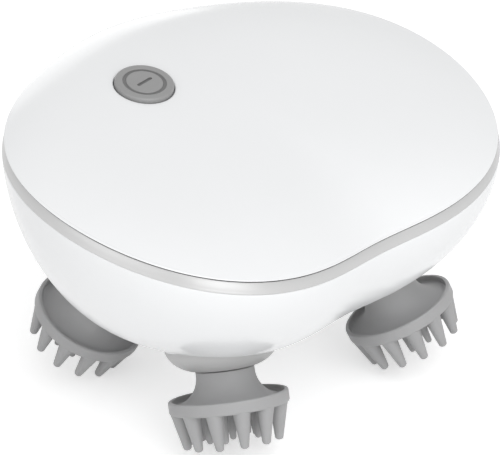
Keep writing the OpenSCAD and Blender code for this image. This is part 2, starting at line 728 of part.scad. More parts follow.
module top_cover() {
  color(white) difference() {
    union() {
      cover_body();
      at_button() translate([0, 0, -guide_d])
        cylinder(r = btn_r + btn_gap + 1.4, h = guide_d - 1.1, $fn = rnd);
      at_button() at_board_posts();
      for (sx = [-1, 1]) translate([sx * cover_screw_x, 0, split_z])
        cylinder(r = cover_head_r + 1.2, h = cover_z(sx * cover_screw_x, 0) - 1.2 - split_z,
          $fn = rnd);
    }
    at_button() {
      translate([0, 0, -pocket_d]) cylinder(r = btn_r + btn_gap, h = pocket_d + 4, $fn = rnd);
      translate([0, 0, -guide_d - 1])
        cylinder(r = stem_r + run_gap, h = guide_d, $fn = rnd);
      at_board_screws() translate([0, 0, -board_z - 1])
        cylinder(r = screw_r + fit_gap, h = board_screw_l + 0.2, $fn = 24);
    }
    for (sx = [-1, 1]) translate([sx * cover_screw_x, 0, split_z - 1])
      cylinder(r = cover_screw_r + fit_gap, h = 10, $fn = 32);
  }
}

module at_board_posts() {
  for (u = [-1, 1], v = [-1, 1]) {
    px = board_x + u * board_screw_u;
    py = v * board_screw_v;
    translate([px, py, -board_z])
      cylinder(r = 2.3, h = board_z - top_drop(px, py) - 1.1, $fn = 48);
  }
}

// ---------- power button ----------
module power_button() {
  color([0.56, 0.56, 0.57]) at_button() difference() {
    union() {
      rotate_extrude($fn = 96) polygon([[0, btn_proud - btn_t], [btn_r, btn_proud - btn_t],
        [btn_r, btn_proud - 0.5], [btn_r - 0.15, btn_proud - 0.15],
        [btn_r - 0.5, btn_proud], [0, btn_proud]]);
      translate([0, 0, -stem_end])
        cylinder(r = stem_r, h = stem_end + btn_proud - btn_t + 0.2, $fn = rnd);
    }
    translate([0, 0, btn_proud - mark_d]) difference() {
      cylinder(r = mark_r, h = 1, $fn = 96);
      translate([0, 0, -1]) cylinder(r = mark_r - mark_w, h = 3, $fn = 96);
    }
    rotate([0, 0, mark_turn]) translate([-mark_l / 2, -mark_w / 2, btn_proud - mark_d])
      cube([mark_l, mark_w, 1]);
    translate([0, 0, -pocket_d - 0.9]) tube(stem_r + 1, stem_r - 0.72, 0.84);
  }
}

module button_seal() {
  color([0.25, 0.25, 0.27]) at_button() translate([0, 0, -pocket_d - 0.48])
    rotate_extrude($fn = 96) translate([stem_r - 0.34, 0]) circle(r = 0.37, $fn = 24);
}

module switch_plunger() {
  color([0.15, 0.15, 0.16]) at_button() translate([0, 0, -switch_top - 1])
    cylinder(r = plunger_r, h = switch_top + 1 - stem_end, $fn = 48);
}

module tact_switch() {
  color([0.75, 0.75, 0.77]) at_button() difference() {
    translate([-switch_w / 2, -switch_w / 2, -board_z]) cube([switch_w, switch_w, switch_h]);
    translate([0, 0, -switch_top - 1 - btn_travel - 0.2])
      cylinder(r = plunger_r + run_gap, h = 4, $fn = 48);
  }
}

module main_board() {
  color([0.1, 0.4, 0.22]) at_button() difference() {
    translate([board_x - board_l / 2, -board_w / 2, -board_z - board_t])
      cube([board_l, board_w, board_t]);
    at_board_screws() translate([0, 0, -board_z - board_t - 1])
      cylinder(r = screw_r + screw_gap, h = board_t + 2, $fn = 32);
  }
}

module board_screws() {
  color("silver") at_button() at_board_screws() translate([0, 0, -board_z - board_t])
    rotate([180, 0, 0]) pan_screw(screw_r, screw_head_r, screw_head_h, board_screw_l);
}

module controller_chip() {
  color([0.12, 0.12, 0.13]) at_button()
    translate([board_x + 2, -4.5, -board_z]) cube([7, 7, 1.2]);
}

module battery_plug() {
  color([0.9, 0.88, 0.8]) at_button() difference() {
    translate([board_x + 9.5, -board_w / 2 + 7, -board_z]) cube([4.5, 7.5, 3.2]);
    translate([board_x + 10.3, -board_w / 2 + 7.8, -board_z + 0.8]) cube([4.5, 5.9, 1.6]);
  }
}

// ---------- power ----------
bed_z = plate_z + plate_t;
cell_z = bed_z + bed_t;
boss_end_d = spindle_gear_d + spindle_gear_h + 2.6 + bush_l;
module at_bush_tops(r, h) {
  for (sx = [-1, 1]) translate([
    sx * (head_x - (boss_end_d - 1) * sin(tilt) * cos(lean)),
    -(head_y - (boss_end_d - 1) * sin(tilt) * sin(lean)), 0])
    cylinder(r = r, h = h, $fn = rnd);
}

module battery_cell() {
  color([0.3, 0.45, 0.65]) translate([-cell_l / 2, cell_y - cell_w / 2, cell_z])
    cube([cell_l, cell_w, cell_t]);
}

bed_front = max(post_y + bed_margin, cell_w / 2 + bed_wall - cell_y);
bed_hole_r = screw_head_r + 0.6;
bed_slot = post_x - bed_hole_r - bed_web;
module battery_bed() {
  color([0.25, 0.25, 0.27]) difference() {
    translate([-cell_l / 2 - bed_wall, -bed_front, bed_z])
      cube([cell_l + 2 * bed_wall, bed_front + cell_y + cell_w / 2 + bed_wall, bed_t + bed_lip]);
    translate([-cell_l / 2, cell_y - cell_w / 2, cell_z]) cube([cell_l, cell_w, 10]);
    translate([-cell_l / 2 + 9, cell_y - cell_w, cell_z - 1])
      cube([cell_l - 18, 2 * cell_w, 10]);
    translate([-cell_l, cell_y - cell_w / 2 + 7, cell_z - 1])
      cube([2 * cell_l, cell_w - 14, 10]);
    translate([0, 0, bed_z - 1]) at_bush_tops(6.9, bed_t + 2);
    translate([-bed_slot, cell_y - 9.5, bed_z - 1]) cube([2 * bed_slot, 19, 10]);
    at_posts() translate([0, 0, bed_z - 1]) cylinder(r = bed_hole_r, h = bed_t + 4, $fn = rnd);
  }
}

// ---------- bearing plate ----------
ear_r = gearbox_r + 2.6;
ear_az = 45;
module at_ears() {
  for (a = [ear_az, ear_az + 180])
    translate([drive_x, drive_y, 0]) rotate([0, 0, a]) translate([ear_r, 0, 0]) children();
}

module bearing_plate() {
  color([0.86, 0.86, 0.84]) difference() {
    union() {
      translate([-plate_l / 2, plate_corner - plate_w / 2, plate_z])
        cube([plate_l, plate_w - 2 * plate_corner, plate_t]);
      translate([plate_corner - plate_l / 2, -plate_w / 2, plate_z])
        cube([plate_l - 2 * plate_corner, plate_w, plate_t]);
      for (sx = [-1, 1], sy = [-1, 1])
        translate([sx * (plate_l / 2 - plate_corner), sy * (plate_w / 2 - plate_corner), plate_z])
          cylinder(r = plate_corner, h = plate_t, $fn = rnd);
      head_bosses(bush_r + 1.8, boss_end_d - bush_l, boss_end_d);
    }
    head_bosses(bush_r + fit_gap, boss_end_d - bush_l - 1, boss_end_d + 1);
    head_bosses(bush_r + 1.9, boss_end_d, boss_end_d + 6);
    head_bosses(bush_flange_r + 3, boss_end_d - bush_l - 8, boss_end_d - bush_l);
    translate([drive_x, drive_y, plate_z - 1]) cylinder(r = gearbox_r + 0.2, h = 6, $fn = rnd);
    at_ears() translate([0, 0, plate_z - 1])
      cylinder(r = screw_r + fit_gap, h = 6, $fn = 24);
    at_posts() translate([0, 0, plate_z - 1]) cylinder(r = screw_r + screw_gap, h = 6, $fn = 32);
    for (sx = [-1, 1]) translate([sx * axle_x, 0, plate_z - 1])
      cylinder(r = axle_r + fit_gap, h = 6, $fn = rnd);
  }
}

module plate_screws() {
  color("silver") at_posts() translate([0, 0, plate_z + plate_t])
    pan_screw(screw_r, screw_head_r, screw_head_h, plate_screw_l);
}

module cover_screws() {
  color("silver") for (sx = [-1, 1])
    translate([sx * cover_screw_x, 0, split_z - cover_screw_sink]) rotate([180, 0, 0])
      pan_screw(cover_screw_r, cover_head_r, cover_head_h, cover_screw_l);
}

module screw_plugs() {
  color(white) intersection() {
    for (sx = [-1, 1]) translate([sx * cover_screw_x, 0, 0])
      cylinder(r = cover_head_r + 0.1, h = 10.5, $fn = rnd);
    plug_clip();
  }
}

// Solid a little inside the bowl's outer surface, which trims the plugs
module plug_clip() {
  shares = [1, 0.85, 0.7, 0.55, 0.4];
  loft([for (p = shares) [for (a = angles) bowl_pt(a, p, 0.1, 0.1, edge_z(a) - band_h)]],
    undef, [0, 0, band_mid]);
}

// ---------- gearmotor ----------
gearbox_z = plate_z - gearbox_sink;
module gearbox_case() {
  color([0.3, 0.3, 0.32]) difference() {
    union() {
      translate([drive_x, drive_y, gearbox_z]) cylinder(r = gearbox_r, h = gearbox_h, $fn = rnd);
      at_ears() translate([0, 0, bed_z]) {
        cylinder(r = ear_w / 2, h = ear_t, $fn = rnd);
        translate([-ear_r, -ear_w / 2, 0]) cube([ear_r, ear_w, ear_t]);
      }
    }
    translate([drive_x, drive_y, gearbox_z - 1])
      cylinder(r = drive_r + run_gap, h = 5, $fn = rnd);
    at_ears() cylinder(r = screw_r + screw_gap, h = bed_z + 5, $fn = 32);
  }
}

module gearbox_screws() {
  color("silver") at_ears() translate([0, 0, bed_z + ear_t])
    pan_screw(screw_r, screw_head_r, screw_head_h, plate_t + ear_t - 0.1);
}

module motor_can() {
  color([0.72, 0.73, 0.74]) translate([drive_x, drive_y, gearbox_z + gearbox_h])
    rotate_extrude($fn = 96) polygon([[0, 0], [motor_r - 0.6, 0], [motor_r, 0.6],
      [motor_r, motor_h], [0, motor_h]]);
}

module motor_cap() {
  color([0.15, 0.15, 0.16]) translate([drive_x, drive_y, gearbox_z + gearbox_h + motor_h]) {
    cylinder(r = motor_r - 0.5, h = motor_cap_t, $fn = 96);
    for (s = [-1, 1]) translate([s * 6 - 1, -0.25, 0]) cube([2, 0.5, motor_cap_t + 1.2]);
  }
}

module drive_shaft() {
  color([0.8, 0.8, 0.82]) translate([drive_x, drive_y, main_z - 3])
    cylinder(r = drive_r, h = gearbox_z + 3.5 - main_z + 3, $fn = rnd);
}

module drive_pinion() {
  color([0.85, 0.83, 0.75]) translate([drive_x, drive_y, main_z]) difference() {
    union() {
      rotate([0, 0, phase_drive]) linear_extrude(height = main_w)
        polygon(spur_points(drive_teeth, main_m, 0.9, 1.2));
      cylinder(r = pinion_hub_r, h = main_w + pinion_hub_h, $fn = rnd);
    }
    translate([0, 0, -1]) cylinder(r = drive_r + fit_gap, h = main_w + 6, $fn = rnd);
  }
}

// ---------- main gears ----------
module gear_axles() {
  color([0.8, 0.8, 0.82]) for (sx = [-1, 1]) translate([sx * axle_x, 0, main_z - axle_sink])
    cylinder(r = axle_r, h = plate_z + plate_t - main_z + axle_sink, $fn = rnd);
}

module main_gear(phase) {
  difference() {
    union() {
      translate([0, 0, main_z]) rotate([0, 0, phase]) linear_extrude(height = main_w)
        polygon(spur_points(main_teeth, main_m, 0.75, 1.2));
      translate([0, 0, main_z + main_w - 0.5])
        cylinder(r = bevel_r - 3, h = bevel_z - main_z - main_w + 1, $fn = rnd);
      translate([0, 0, bevel_z])
        linear_extrude(height = bevel_h, scale = (apex_z - bevel_z - bevel_h) / (apex_z - bevel_z))
          polygon(bevel_points(bevel_teeth, bevel_m, cone_m, 0.8, 1.15));
      translate([0, 0, main_z]) cylinder(r = gear_hub_r, h = gear_top - main_z, $fn = rnd);
    }
    translate([0, 0, -1]) cylinder(r = axle_r + run_gap, h = gear_top + 6, $fn = rnd);
  }
}

module gear_left() {
  color([0.9, 0.88, 0.8]) translate([-axle_x, 0, 0]) main_gear(phase_left);
}

module gear_right() {
  color([0.9, 0.88, 0.8]) translate([axle_x, 0, 0]) main_gear(phase_right);
}

// ---------- heads ----------
module at_collar_screws() {
  for (k = [0 : 2]) rotate([0, 0, 120 * k]) translate([collar_screw_pcr, 0, 0]) children();
}

module collar(i) {
  color([0.66, 0.66, 0.67]) at_head(i) difference() {
    rotate_extrude($fn = 96) polygon(concat([[0, collar_d]],
      [for (k = [0 : 6]) [
        collar_r1 + (collar_r - collar_r1) * pow(sin(k * 15), 2 / collar_n),
        seat_d - collar_h * pow(cos(k * 15), 2 / collar_n)]],
      [[spigot_r, seat_d], [spigot_r, seat_d + spigot_h], [0, seat_d + spigot_h]]));
    translate([0, 0, collar_d - 1]) cylinder(r = spindle_r + run_gap, h = 12, $fn = rnd);
    translate([0, 0, seal_d]) cylinder(r = seal_r + fit_gap, h = seal_t + 1, $fn = rnd);
    at_collar_screws() translate([0, 0, seat_d + spigot_h - collar_thread])
      cylinder(r = screw_r + fit_gap, h = collar_thread + 1, $fn = 24);
  }
}

module collar_screws() {
  color("silver") for (i = [0 : 3]) at_head(i) at_collar_screws()
    translate([0, 0, boss_top_d])
      pan_screw(screw_r, screw_head_r, screw_head_h, seat_t + collar_thread - 0.1);
}

module seal(i) {
  color([0.15, 0.15, 0.16]) at_head(i) translate([0, 0, seal_d])
    tube(seal_r, spindle_r + run_gap, seal_t);
}

module bush(i) {
  color([0.75, 0.6, 0.35]) at_head(i) difference() {
    union() {
      translate([0, 0, boss_end_d - bush_l]) cylinder(r = bush_r, h = bush_l, $fn = rnd);
      translate([0, 0, boss_end_d - bush_l - bush_flange_t])
        cylinder(r = bush_flange_r, h = bush_flange_t, $fn = rnd);
    }
    translate([0, 0, boss_end_d - bush_l - 4])
      cylinder(r = spindle_r + run_gap, h = bush_l + 8, $fn = rnd);
  }
}

hub_top = neck_l - 0.4;
hub_low = -disc_t + 0.9;
spindle_low = hub_low + 1.6;
module spindle_flat_cut(extra) {
  translate([spindle_r - spindle_flat + extra, -5, spindle_low - 2])
    cube([4, 10, hub_top - spindle_low + 1.8]);
}

module spindle(i) {
  color([0.8, 0.8, 0.82]) at_head(i) difference() {
    union() {
      translate([0, 0, spindle_low])
        cylinder(r = spindle_r, h = boss_end_d - spindle_low - 0.2, $fn = rnd);
      translate([0, 0, spindle_gear_d - bevel_hub_d - shoulder_l])
        cylinder(r = shoulder_r, h = shoulder_l, $fn = rnd);
    }
    spindle_flat_cut(0);
  }
}

module bevel(i) {
  color([0.85, 0.83, 0.75]) at_head(i) difference() {
    union() {
      translate([0, 0, spindle_gear_d]) rotate([0, 0, phase_spindle(i)])
        linear_extrude(height = spindle_gear_h,
          scale = (apex_d - spindle_gear_d - spindle_gear_h) / (apex_d - spindle_gear_d))
          polygon(bevel_points(spindle_teeth, bevel_m, cone_s, 0.8, 1.15));
      translate([0, 0, spindle_gear_d - bevel_hub_d])
        cylinder(r = bevel_hub_r, h = spindle_gear_h + 2 * bevel_hub_d, $fn = rnd);
    }
    translate([0, 0, spindle_gear_d - 4])
      cylinder(r = spindle_r + fit_gap, h = spindle_gear_h + 12, $fn = rnd);
  }
}

module hub_solid(g) {
  translate([0, 0, hub_low - g]) {
    cylinder(r = hub_flange_r + g, h = hub_flange_t + 2 * g, $fn = rnd);
    cylinder(r = hub_r + g, h = hub_top - hub_low + 2 * g, $fn = rnd);
  }
}

module hub(i) {
  color([0.35, 0.35, 0.37]) at_head(i) difference() {
    hub_solid(0);
    difference() {
      translate([0, 0, spindle_low]) cylinder(r = spindle_r + fit_gap, h = 20, $fn = rnd);
      spindle_flat_cut(fit_gap);
    }
  }
}

// Profile of the disc with its dish, flare and neck
flare_x = neck_r + flare_r;
flare_z = flare_r - dish_d;
rim_r = disc_r - rim_w;
flare_turn = acos((flare_x - rim_r + 0.2) / flare_r);
flare_pts = [for (k = [0 : 10]) let (b = 180 + k * flare_turn / 10)
  [flare_x + flare_r * cos(b), flare_z + flare_r * sin(b)]];
module claw_profile() {
  polygon(concat([[0, -disc_t], [disc_r - 0.35, -disc_t], [disc_r, -disc_t + 0.35],
    [disc_r, -0.45], [disc_r - 0.15, -0.13], [disc_r - 0.45, 0], [rim_r, 0]],
    [for (k = [10 : -1 : 0]) flare_pts[k]],
    [[neck_r, neck_l - 0.3], [neck_r - 0.3, neck_l], [0, neck_l]]));
}

module finger(pts) {
  translate([0, 0, 0.6]) rotate([180, 0, 0]) rotate_extrude($fn = 32)
    polygon(concat([[0, 0], [pts[1][0], 0]],
      [for (k = [1 : len(pts) - 1]) [pts[k][0], pts[k][1] + 0.6]]));
}

inner_pts = [[0, 0], [inner_r, 0], [inner_tip, inner_l - 0.5],
  [inner_tip * 0.7, inner_l - 0.12], [0, inner_l]];
module claw(i) {
  color(grey) at_head(i) difference() {
    union() {
      rotate_extrude($fn = 96) claw_profile();
      for (k = [0 : finger_n - 1]) rotate([0, 0, 180 + k * 360 / finger_n])
        translate([finger_ring, 0, -disc_t]) rotate([0, finger_lean, 0]) finger(finger_pts);
      for (k = [0 : inner_n - 1]) rotate([0, 0, 15 + k * 360 / inner_n])
        translate([inner_ring, 0, -disc_t]) finger(inner_pts);
      translate([0, 0, -disc_t]) finger(inner_pts);
    }
    hub_solid(fit_gap);
    translate([0, 0, hub_top - 0.1]) cylinder(r = spindle_r + 0.4, h = 3, $fn = rnd);
  }
}

// ---------- charging pad ----------
module charge_contacts() {
  color([0.85, 0.7, 0.35]) at_dock() for (sx = [-1, 1])
    translate([sx * contact_gap / 2, 0, 0]) rotate([90, 0, 0]) {
      translate([0, 0, -0.3]) cylinder(r = contact_r, h = 0.8, $fn = 32);
      cylinder(r = contact_pin_r, h = dock_t + 1.8, $fn = 32);
    }
}

module dock_magnets() {
  color([0.7, 0.7, 0.72]) at_dock() for (sx = [-1, 1])
    translate([sx * magnet_x, -dock_t, 0]) rotate([-90, 0, 0])
      cylinder(r = magnet_r, h = magnet_t, $fn = rnd);
}

// ---------- assembly ----------
lift() top_cover();
lift() case_gasket();
lift() trim_ring();
lift() lower_shell();
lift() power_button();
lift() button_seal();
lift() switch_plunger();
lift() tact_switch();
lift() main_board();
lift() board_screws();
lift() controller_chip();
lift() battery_plug();
lift() battery_cell();
lift() battery_bed();
lift() bearing_plate();
lift() plate_screws();
lift() cover_screws();
lift() screw_plugs();
lift() gearbox_case();
lift() gearbox_screws();
lift() motor_can();
lift() motor_cap();
lift() drive_shaft();
lift() drive_pinion();
lift() gear_axles();
lift() gear_left();
lift() gear_right();
lift() collar(0);  // collar_front_left
lift() collar(1);  // collar_front_right
lift() collar(2);  // collar_back_left
lift() collar(3);  // collar_back_right
lift() collar_screws();
lift() seal(0);  // seal_front_left
lift() seal(1);  // seal_front_right
lift() seal(2);  // seal_back_left
lift() seal(3);  // seal_back_right
lift() bush(0);  // bush_front_left
lift() bush(1);  // bush_front_right
lift() bush(2);  // bush_back_left
lift() bush(3);  // bush_back_right
lift() spindle(0);  // spindle_front_left
lift() spindle(1);  // spindle_front_right
lift() spindle(2);  // spindle_back_left
lift() spindle(3);  // spindle_back_right
lift() bevel(0);  // bevel_front_left
lift() bevel(1);  // bevel_front_right
lift() bevel(2);  // bevel_back_left
lift() bevel(3);  // bevel_back_right
lift() hub(0);  // hub_front_left
lift() hub(1);  // hub_front_right
lift() hub(2);  // hub_back_left
lift() hub(3);  // hub_back_right
lift() claw(0);  // claw_front_left
lift() claw(1);  // claw_front_right
lift() claw(2);  // claw_back_left
lift() claw(3);  // claw_back_right
lift() charge_contacts();
lift() dock_magnets();
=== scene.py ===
"""Looks of the palm-sized electric scalp massager.

Lengths are in millimetres until a mesh is made, and MM turns them into metres.
The case is drawn with z = 0 at its flat underside, and STAND lifts it onto its fingertips.
"""
import json
import math

import bmesh
import bpy
from mathutils import Matrix, Vector


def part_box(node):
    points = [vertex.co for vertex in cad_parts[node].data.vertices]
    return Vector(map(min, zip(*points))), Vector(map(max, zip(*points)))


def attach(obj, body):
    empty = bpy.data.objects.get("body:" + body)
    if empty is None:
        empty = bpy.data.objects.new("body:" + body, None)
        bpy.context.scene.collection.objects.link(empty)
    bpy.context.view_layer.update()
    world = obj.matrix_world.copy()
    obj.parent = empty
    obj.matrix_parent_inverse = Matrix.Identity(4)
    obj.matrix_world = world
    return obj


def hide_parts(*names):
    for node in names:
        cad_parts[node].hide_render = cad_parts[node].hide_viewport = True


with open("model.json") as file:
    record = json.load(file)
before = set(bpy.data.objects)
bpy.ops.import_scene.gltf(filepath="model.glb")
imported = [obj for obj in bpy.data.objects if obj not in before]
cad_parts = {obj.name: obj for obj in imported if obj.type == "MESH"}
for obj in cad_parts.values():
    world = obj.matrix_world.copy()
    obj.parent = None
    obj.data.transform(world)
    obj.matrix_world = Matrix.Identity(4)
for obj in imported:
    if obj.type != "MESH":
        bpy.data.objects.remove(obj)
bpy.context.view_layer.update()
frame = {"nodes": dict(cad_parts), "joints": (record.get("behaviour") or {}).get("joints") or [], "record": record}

MM = 0.001
PAD_T = 0.5
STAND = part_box("lower_shell")[0][2] / MM + PAD_T

# ---------------------------------------------------------------- driving sizes
BODY_L = 119.7
OVAL, SQUARE, EGG, WAIST, SIDE = 0.143, 0.014, -0.016, 0.04, 0.018
BOWL_H, BOWL_N, FLAT_L, FLAT_W, FOOT_IN, WALL = 42.8, 1.856, 21.2, 10.6, 0.3, 2.2
PAD_R = 9.0
BAND_H, BAND_OUT, BAND_TILT, BAND_WAVE = 3.07, 0.61, 10.76, 1.98
RING_IN, TONGUE_T, GASKET_T, GASKET_IN = 1.0, 1.2, 0.45, 0.15
TONGUE_IN = -RING_IN - TONGUE_T
CROWN_H, CROWN_M, CROWN_SHIFT = 4.95, 4.75, 0.26
LIP_T, LIP_H, LIP_GAP, LIP_THIN = 1.25, 3.5, 0.15, 0.35
EDGE_DROP = 0.16

BTN_X, BTN_Y, BTN_R, BTN_GAP = -16.2, 15.8, 6.85, 0.2
BTN_PROUD, BTN_T, BTN_TRAVEL = 0.9, 1.8, 0.6
MARK_R, MARK_W, MARK_D, MARK_L, MARK_TURN = 5.05, 0.85, 0.3, 4.8, 9.0
STEM_R, RUN_GAP = 2.8, 0.05
POCKET_D = BTN_T - BTN_PROUD + BTN_TRAVEL + 0.1
GUIDE_D = POCKET_D + 1.5

DISC_R, DISC_T, NECK_R, NECK_L = 13.7, 2.95, 6.7, 6.0
FLARE_R, DISH_D, RIM_W = 6.4, 1.4, 0.9
FINGER_L, FINGER_R, FINGER_TIP, FINGER_RING = 8.2, 1.95, 0.84, 11.5
FINGER_LEAN, FINGER_N = 6.0, 12
INNER_L, INNER_R, INNER_TIP, INNER_RING, INNER_N = 7.4, 1.35, 0.65, 5.9, 8
COLLAR_D, COLLAR_R1, COLLAR_R, COLLAR_H, COLLAR_N = 6.2, 6.75, 13.0, 5.2, 1.7
COLLAR_GAP = 0.15
SPIGOT_R, SPIGOT_H, SEAT_T, WELL_R, WELL_H, BOSS_WALL = 11.4, 2.2, 1.9, 11.1, 6.0, 1.9
SEAT_D = COLLAR_D + COLLAR_H
BOSS_TOP_D = SEAT_D + SPIGOT_H + SEAT_T
BOSS_END = BOSS_TOP_D + WELL_H
SPINDLE_R, SPINDLE_GAP, SEAL_R, SEAL_T = 2.0, 0.6, 4.5, 2.2
SCREW_R, SCREW_PCR, SCREW_GAP, FIT = 1.0, 8.8, 0.15, 0.01
HUB_TOP, HUB_LOW, HUB_R, HUB_FLANGE_R, HUB_FLANGE_T = 5.6, -2.05, 4.6, 8.4, 1.2

COVER_SCREW_X, COVER_HEAD_R, COVER_SCREW_R, COVER_SCREW_SINK = 36.5, 2.3, 1.3, 10.0
COVER_POST_R, COVER_HOLE, SPLIT_Z, POST_ROOT = 3.5, 9.0, 24.0, 0.4
POST_X, POST_Y, POST_R, POST_HOLE, PLATE_Z = 14.005, 27.004, 3.0, 7.0, 24.2
AXLE_X, AXLE_R, AXLE_SINK, MAIN_Z = 14.95, 1.5, 3.4, 8.3
GEAR_BOSS_R, GEAR_BOSS_DROP, DRIVE_BOSS_DROP = 3.5, 0.4, 0.8
DRIVE_X, DRIVE_Y, DRIVE_R, DRIVE_SINK = -1.6, 15.19, 1.5, 3.2
PINION_R, PINION_DROP = 6.27, 0.3
BOARD_X, BOARD_U, BOARD_V, BOARD_Z = 4.5, 16.7, 9.2, 7.0
BOARD_POST_R, BOARD_HOLE = 2.3, 3.6
DOCK_Z, DOCK_W, DOCK_H, DOCK_SINK, DOCK_T = 34.0, 22.0, 8.0, 1.9, 3.0
DOCK_WALL, DOCK_REACH = 1.5, 8.0
CONTACT_GAP, CONTACT_R, CONTACT_PIN_R, CONTACT_T = 6.0, 1.6, 0.9, 0.5
MAGNET_X, MAGNET_R, MAGNET_T = 7.6, 2.5, 1.6

POSTS = [(x, y) for x in (-POST_X, POST_X) for y in (-POST_Y, POST_Y)]

FINE = 1.0
AROUND = int(288 * FINE)


# ---------------------------------------------------------------- case surfaces
PLAN_BASE = BODY_L / 2 / (1 + OVAL - SQUARE)


def plan_raw(a):
    """Distance of the outline from the outline's own centre, at angle a."""
    return PLAN_BASE * (
        1 + EGG * math.sin(a) + OVAL * math.cos(2 * a) - WAIST * math.sin(3 * a)
        - SQUARE * math.cos(4 * a) + SIDE * math.sin(5 * a)
    )


def turn(i, n):
    """Angle of step i of n round a full turn."""
    return 2 * math.pi * i / n


_ys = [plan_raw(turn(i, 360)) * math.sin(turn(i, 360)) for i in range(360)]
PLAN_CY = (max(_ys) + min(_ys)) / 2
PLAN_HALF = (max(_ys) - min(_ys)) / 2
BAND_MID = BOWL_H + BAND_H
ANGLES = [turn(i, AROUND) for i in range(AROUND)]


def plan_pt(a, off):
    """Point of the outline at angle a, moved out by off."""
    r = plan_raw(a) + off
    return r * math.cos(a), r * math.sin(a) - PLAN_CY


def edge_z(a):
    """Height of the cover's edge at angle a."""
    return BAND_MID + BAND_WAVE * math.cos(2 * a) + BAND_TILT * math.sin(a)


def crown_z(a, r):
    """Height of the cover's surface at angle a and share r of the outline's radius."""
    y = plan_raw(a) * math.sin(a) / PLAN_HALF
    plane = BAND_TILT * y
    rise = CROWN_H * (1 - r ** CROWN_M) * (1 + CROWN_SHIFT * y * r)
    return BAND_MID + plane * r + (edge_z(a) - BAND_MID - plane) * r * r + rise


def polar(x, y):
    """Angle about the outline's centre, and share of the outline's radius there."""
    a = math.atan2(y + PLAN_CY, x)
    return a, math.hypot(x, y + PLAN_CY) / plan_raw(a)


def cover_z(x, y):
    """Height of the cover's surface at x, y."""
    a, r = polar(x, y)
    return crown_z(a, min(r, 1.0))


def bowl_pt(a, p, off, floor_z, rim_z):
    """Point of the bowl at angle a and share p of the way from its rim to its foot."""
    rim = plan_pt(a, BAND_OUT - off)
    b = math.atan2(rim[1], rim[0])
    long, wide = FLAT_L - off * FOOT_IN, FLAT_W - off * FOOT_IN
    foot_r = 1 / math.sqrt((math.cos(b) / long) ** 2 + (math.sin(b) / wide) ** 2)
    c = math.cos(math.pi / 2 * p) ** (2 / BOWL_N) if p < 1 else 0.0
    s = math.sin(math.pi / 2 * p) ** (2 / BOWL_N) if p > 0 else 0.0
    foot = (foot_r * math.cos(b), foot_r * math.sin(b))
    return (
        foot[0] + (rim[0] - foot[0]) * c,
        foot[1] + (rim[1] - foot[1]) * c,
        floor_z + (rim_z - floor_z) * (1 - s),
    )


def outline_hit(x, y, ux, uy, off):
    """Point where the ray from x, y along ux, uy meets the outline moved out by off."""
    near, far = 0.0, 2 * BODY_L
    for _ in range(40):
        t = (near + far) / 2
        px, py = x + t * ux, y + t * uy
        a = math.atan2(py + PLAN_CY, px)
        if math.hypot(px, py + PLAN_CY) < plan_raw(a) + off:
            near = t
        else:
            far = t
    return px, py


# ---------------------------------------------------------------- frames
BTN_TOP = cover_z(BTN_X, BTN_Y)
TOP_TILT = math.atan((cover_z(BTN_X, BTN_Y + 4) - cover_z(BTN_X, BTN_Y - 4)) / 8)
LIFT = Matrix.Translation((0, 0, STAND))
ON_BUTTON = Matrix.Translation((BTN_X, BTN_Y, BTN_TOP)) @ Matrix.Rotation(TOP_TILT, 4, "X")
AT_BUTTON = LIFT @ ON_BUTTON


def back_y(z):
    """Distance of the bowl's surface from the middle, at height z of its back."""
    rim = edge_z(math.pi / 2) - BAND_H
    p = math.asin((1 - z / rim) ** (BOWL_N / 2)) / (math.pi / 2)
    return bowl_pt(math.pi / 2, p, 0, 0, rim)[1]


DOCK_TILT = math.atan((back_y(DOCK_Z + 2) - back_y(DOCK_Z - 2)) / 4)
ON_DOCK = (
    Matrix.Translation((0, back_y(DOCK_Z), DOCK_Z))
    @ Matrix.Rotation(-DOCK_TILT, 4, "X") @ Matrix.Translation((0, -DOCK_SINK, 0))
)


def head_frame(joint):
    """Frame of a head: z up its axis, x leaning outward, zero at the disc's upper plane."""
    up = Vector(joint["axis"]).normalized()
    out = Vector((-up.x, -up.y, 0)).normalized()
    x = (out - up * out.dot(up)).normalized()
    y = up.cross(x)
    m = Matrix((x, y, up)).transposed().to_4x4()
    return Matrix.Translation(Vector(joint["pos_m"]) / MM) @ m


HEADS = {
    j["child"][len("head_"):]: head_frame(j)
    for j in frame["joints"] if j["child"].startswith("head_")
}


# ---------------------------------------------------------------- mesh helpers
def make_object(name, points, faces, place=LIFT, sharp_deg=32):
    """A mesh object from points in millimetres, placed, lifted and scaled to metres."""
    mesh = bpy.data.meshes.new(name)
    mesh.from_pydata([place @ Vector(p) * MM for p in points], [], faces)
    bm = bmesh.new()
    bm.from_mesh(mesh)
    bmesh.ops.remove_doubles(bm, verts=bm.verts, dist=1e-7)
    bmesh.ops.recalc_face_normals(bm, faces=bm.faces)
    bm.to_mesh(mesh)
    bm.free()
    obj = bpy.data.objects.new(name, mesh)
    bpy.context.scene.collection.objects.link(obj)
    shade(obj, sharp_deg)
    return obj


def shade(obj, sharp_deg=32):
    """Smooth shading, with the edges sharper than sharp_deg left crisp."""
    mesh = obj.data
    mesh.polygons.foreach_set("use_smooth", [True] * len(mesh.polygons))
    bm = bmesh.new()
    bm.from_mesh(mesh)
    for e in bm.edges:
        e.smooth = not (len(e.link_faces) == 2 and e.calc_face_angle(0) > math.radians(sharp_deg))
    bm.to_mesh(mesh)
    bm.free()


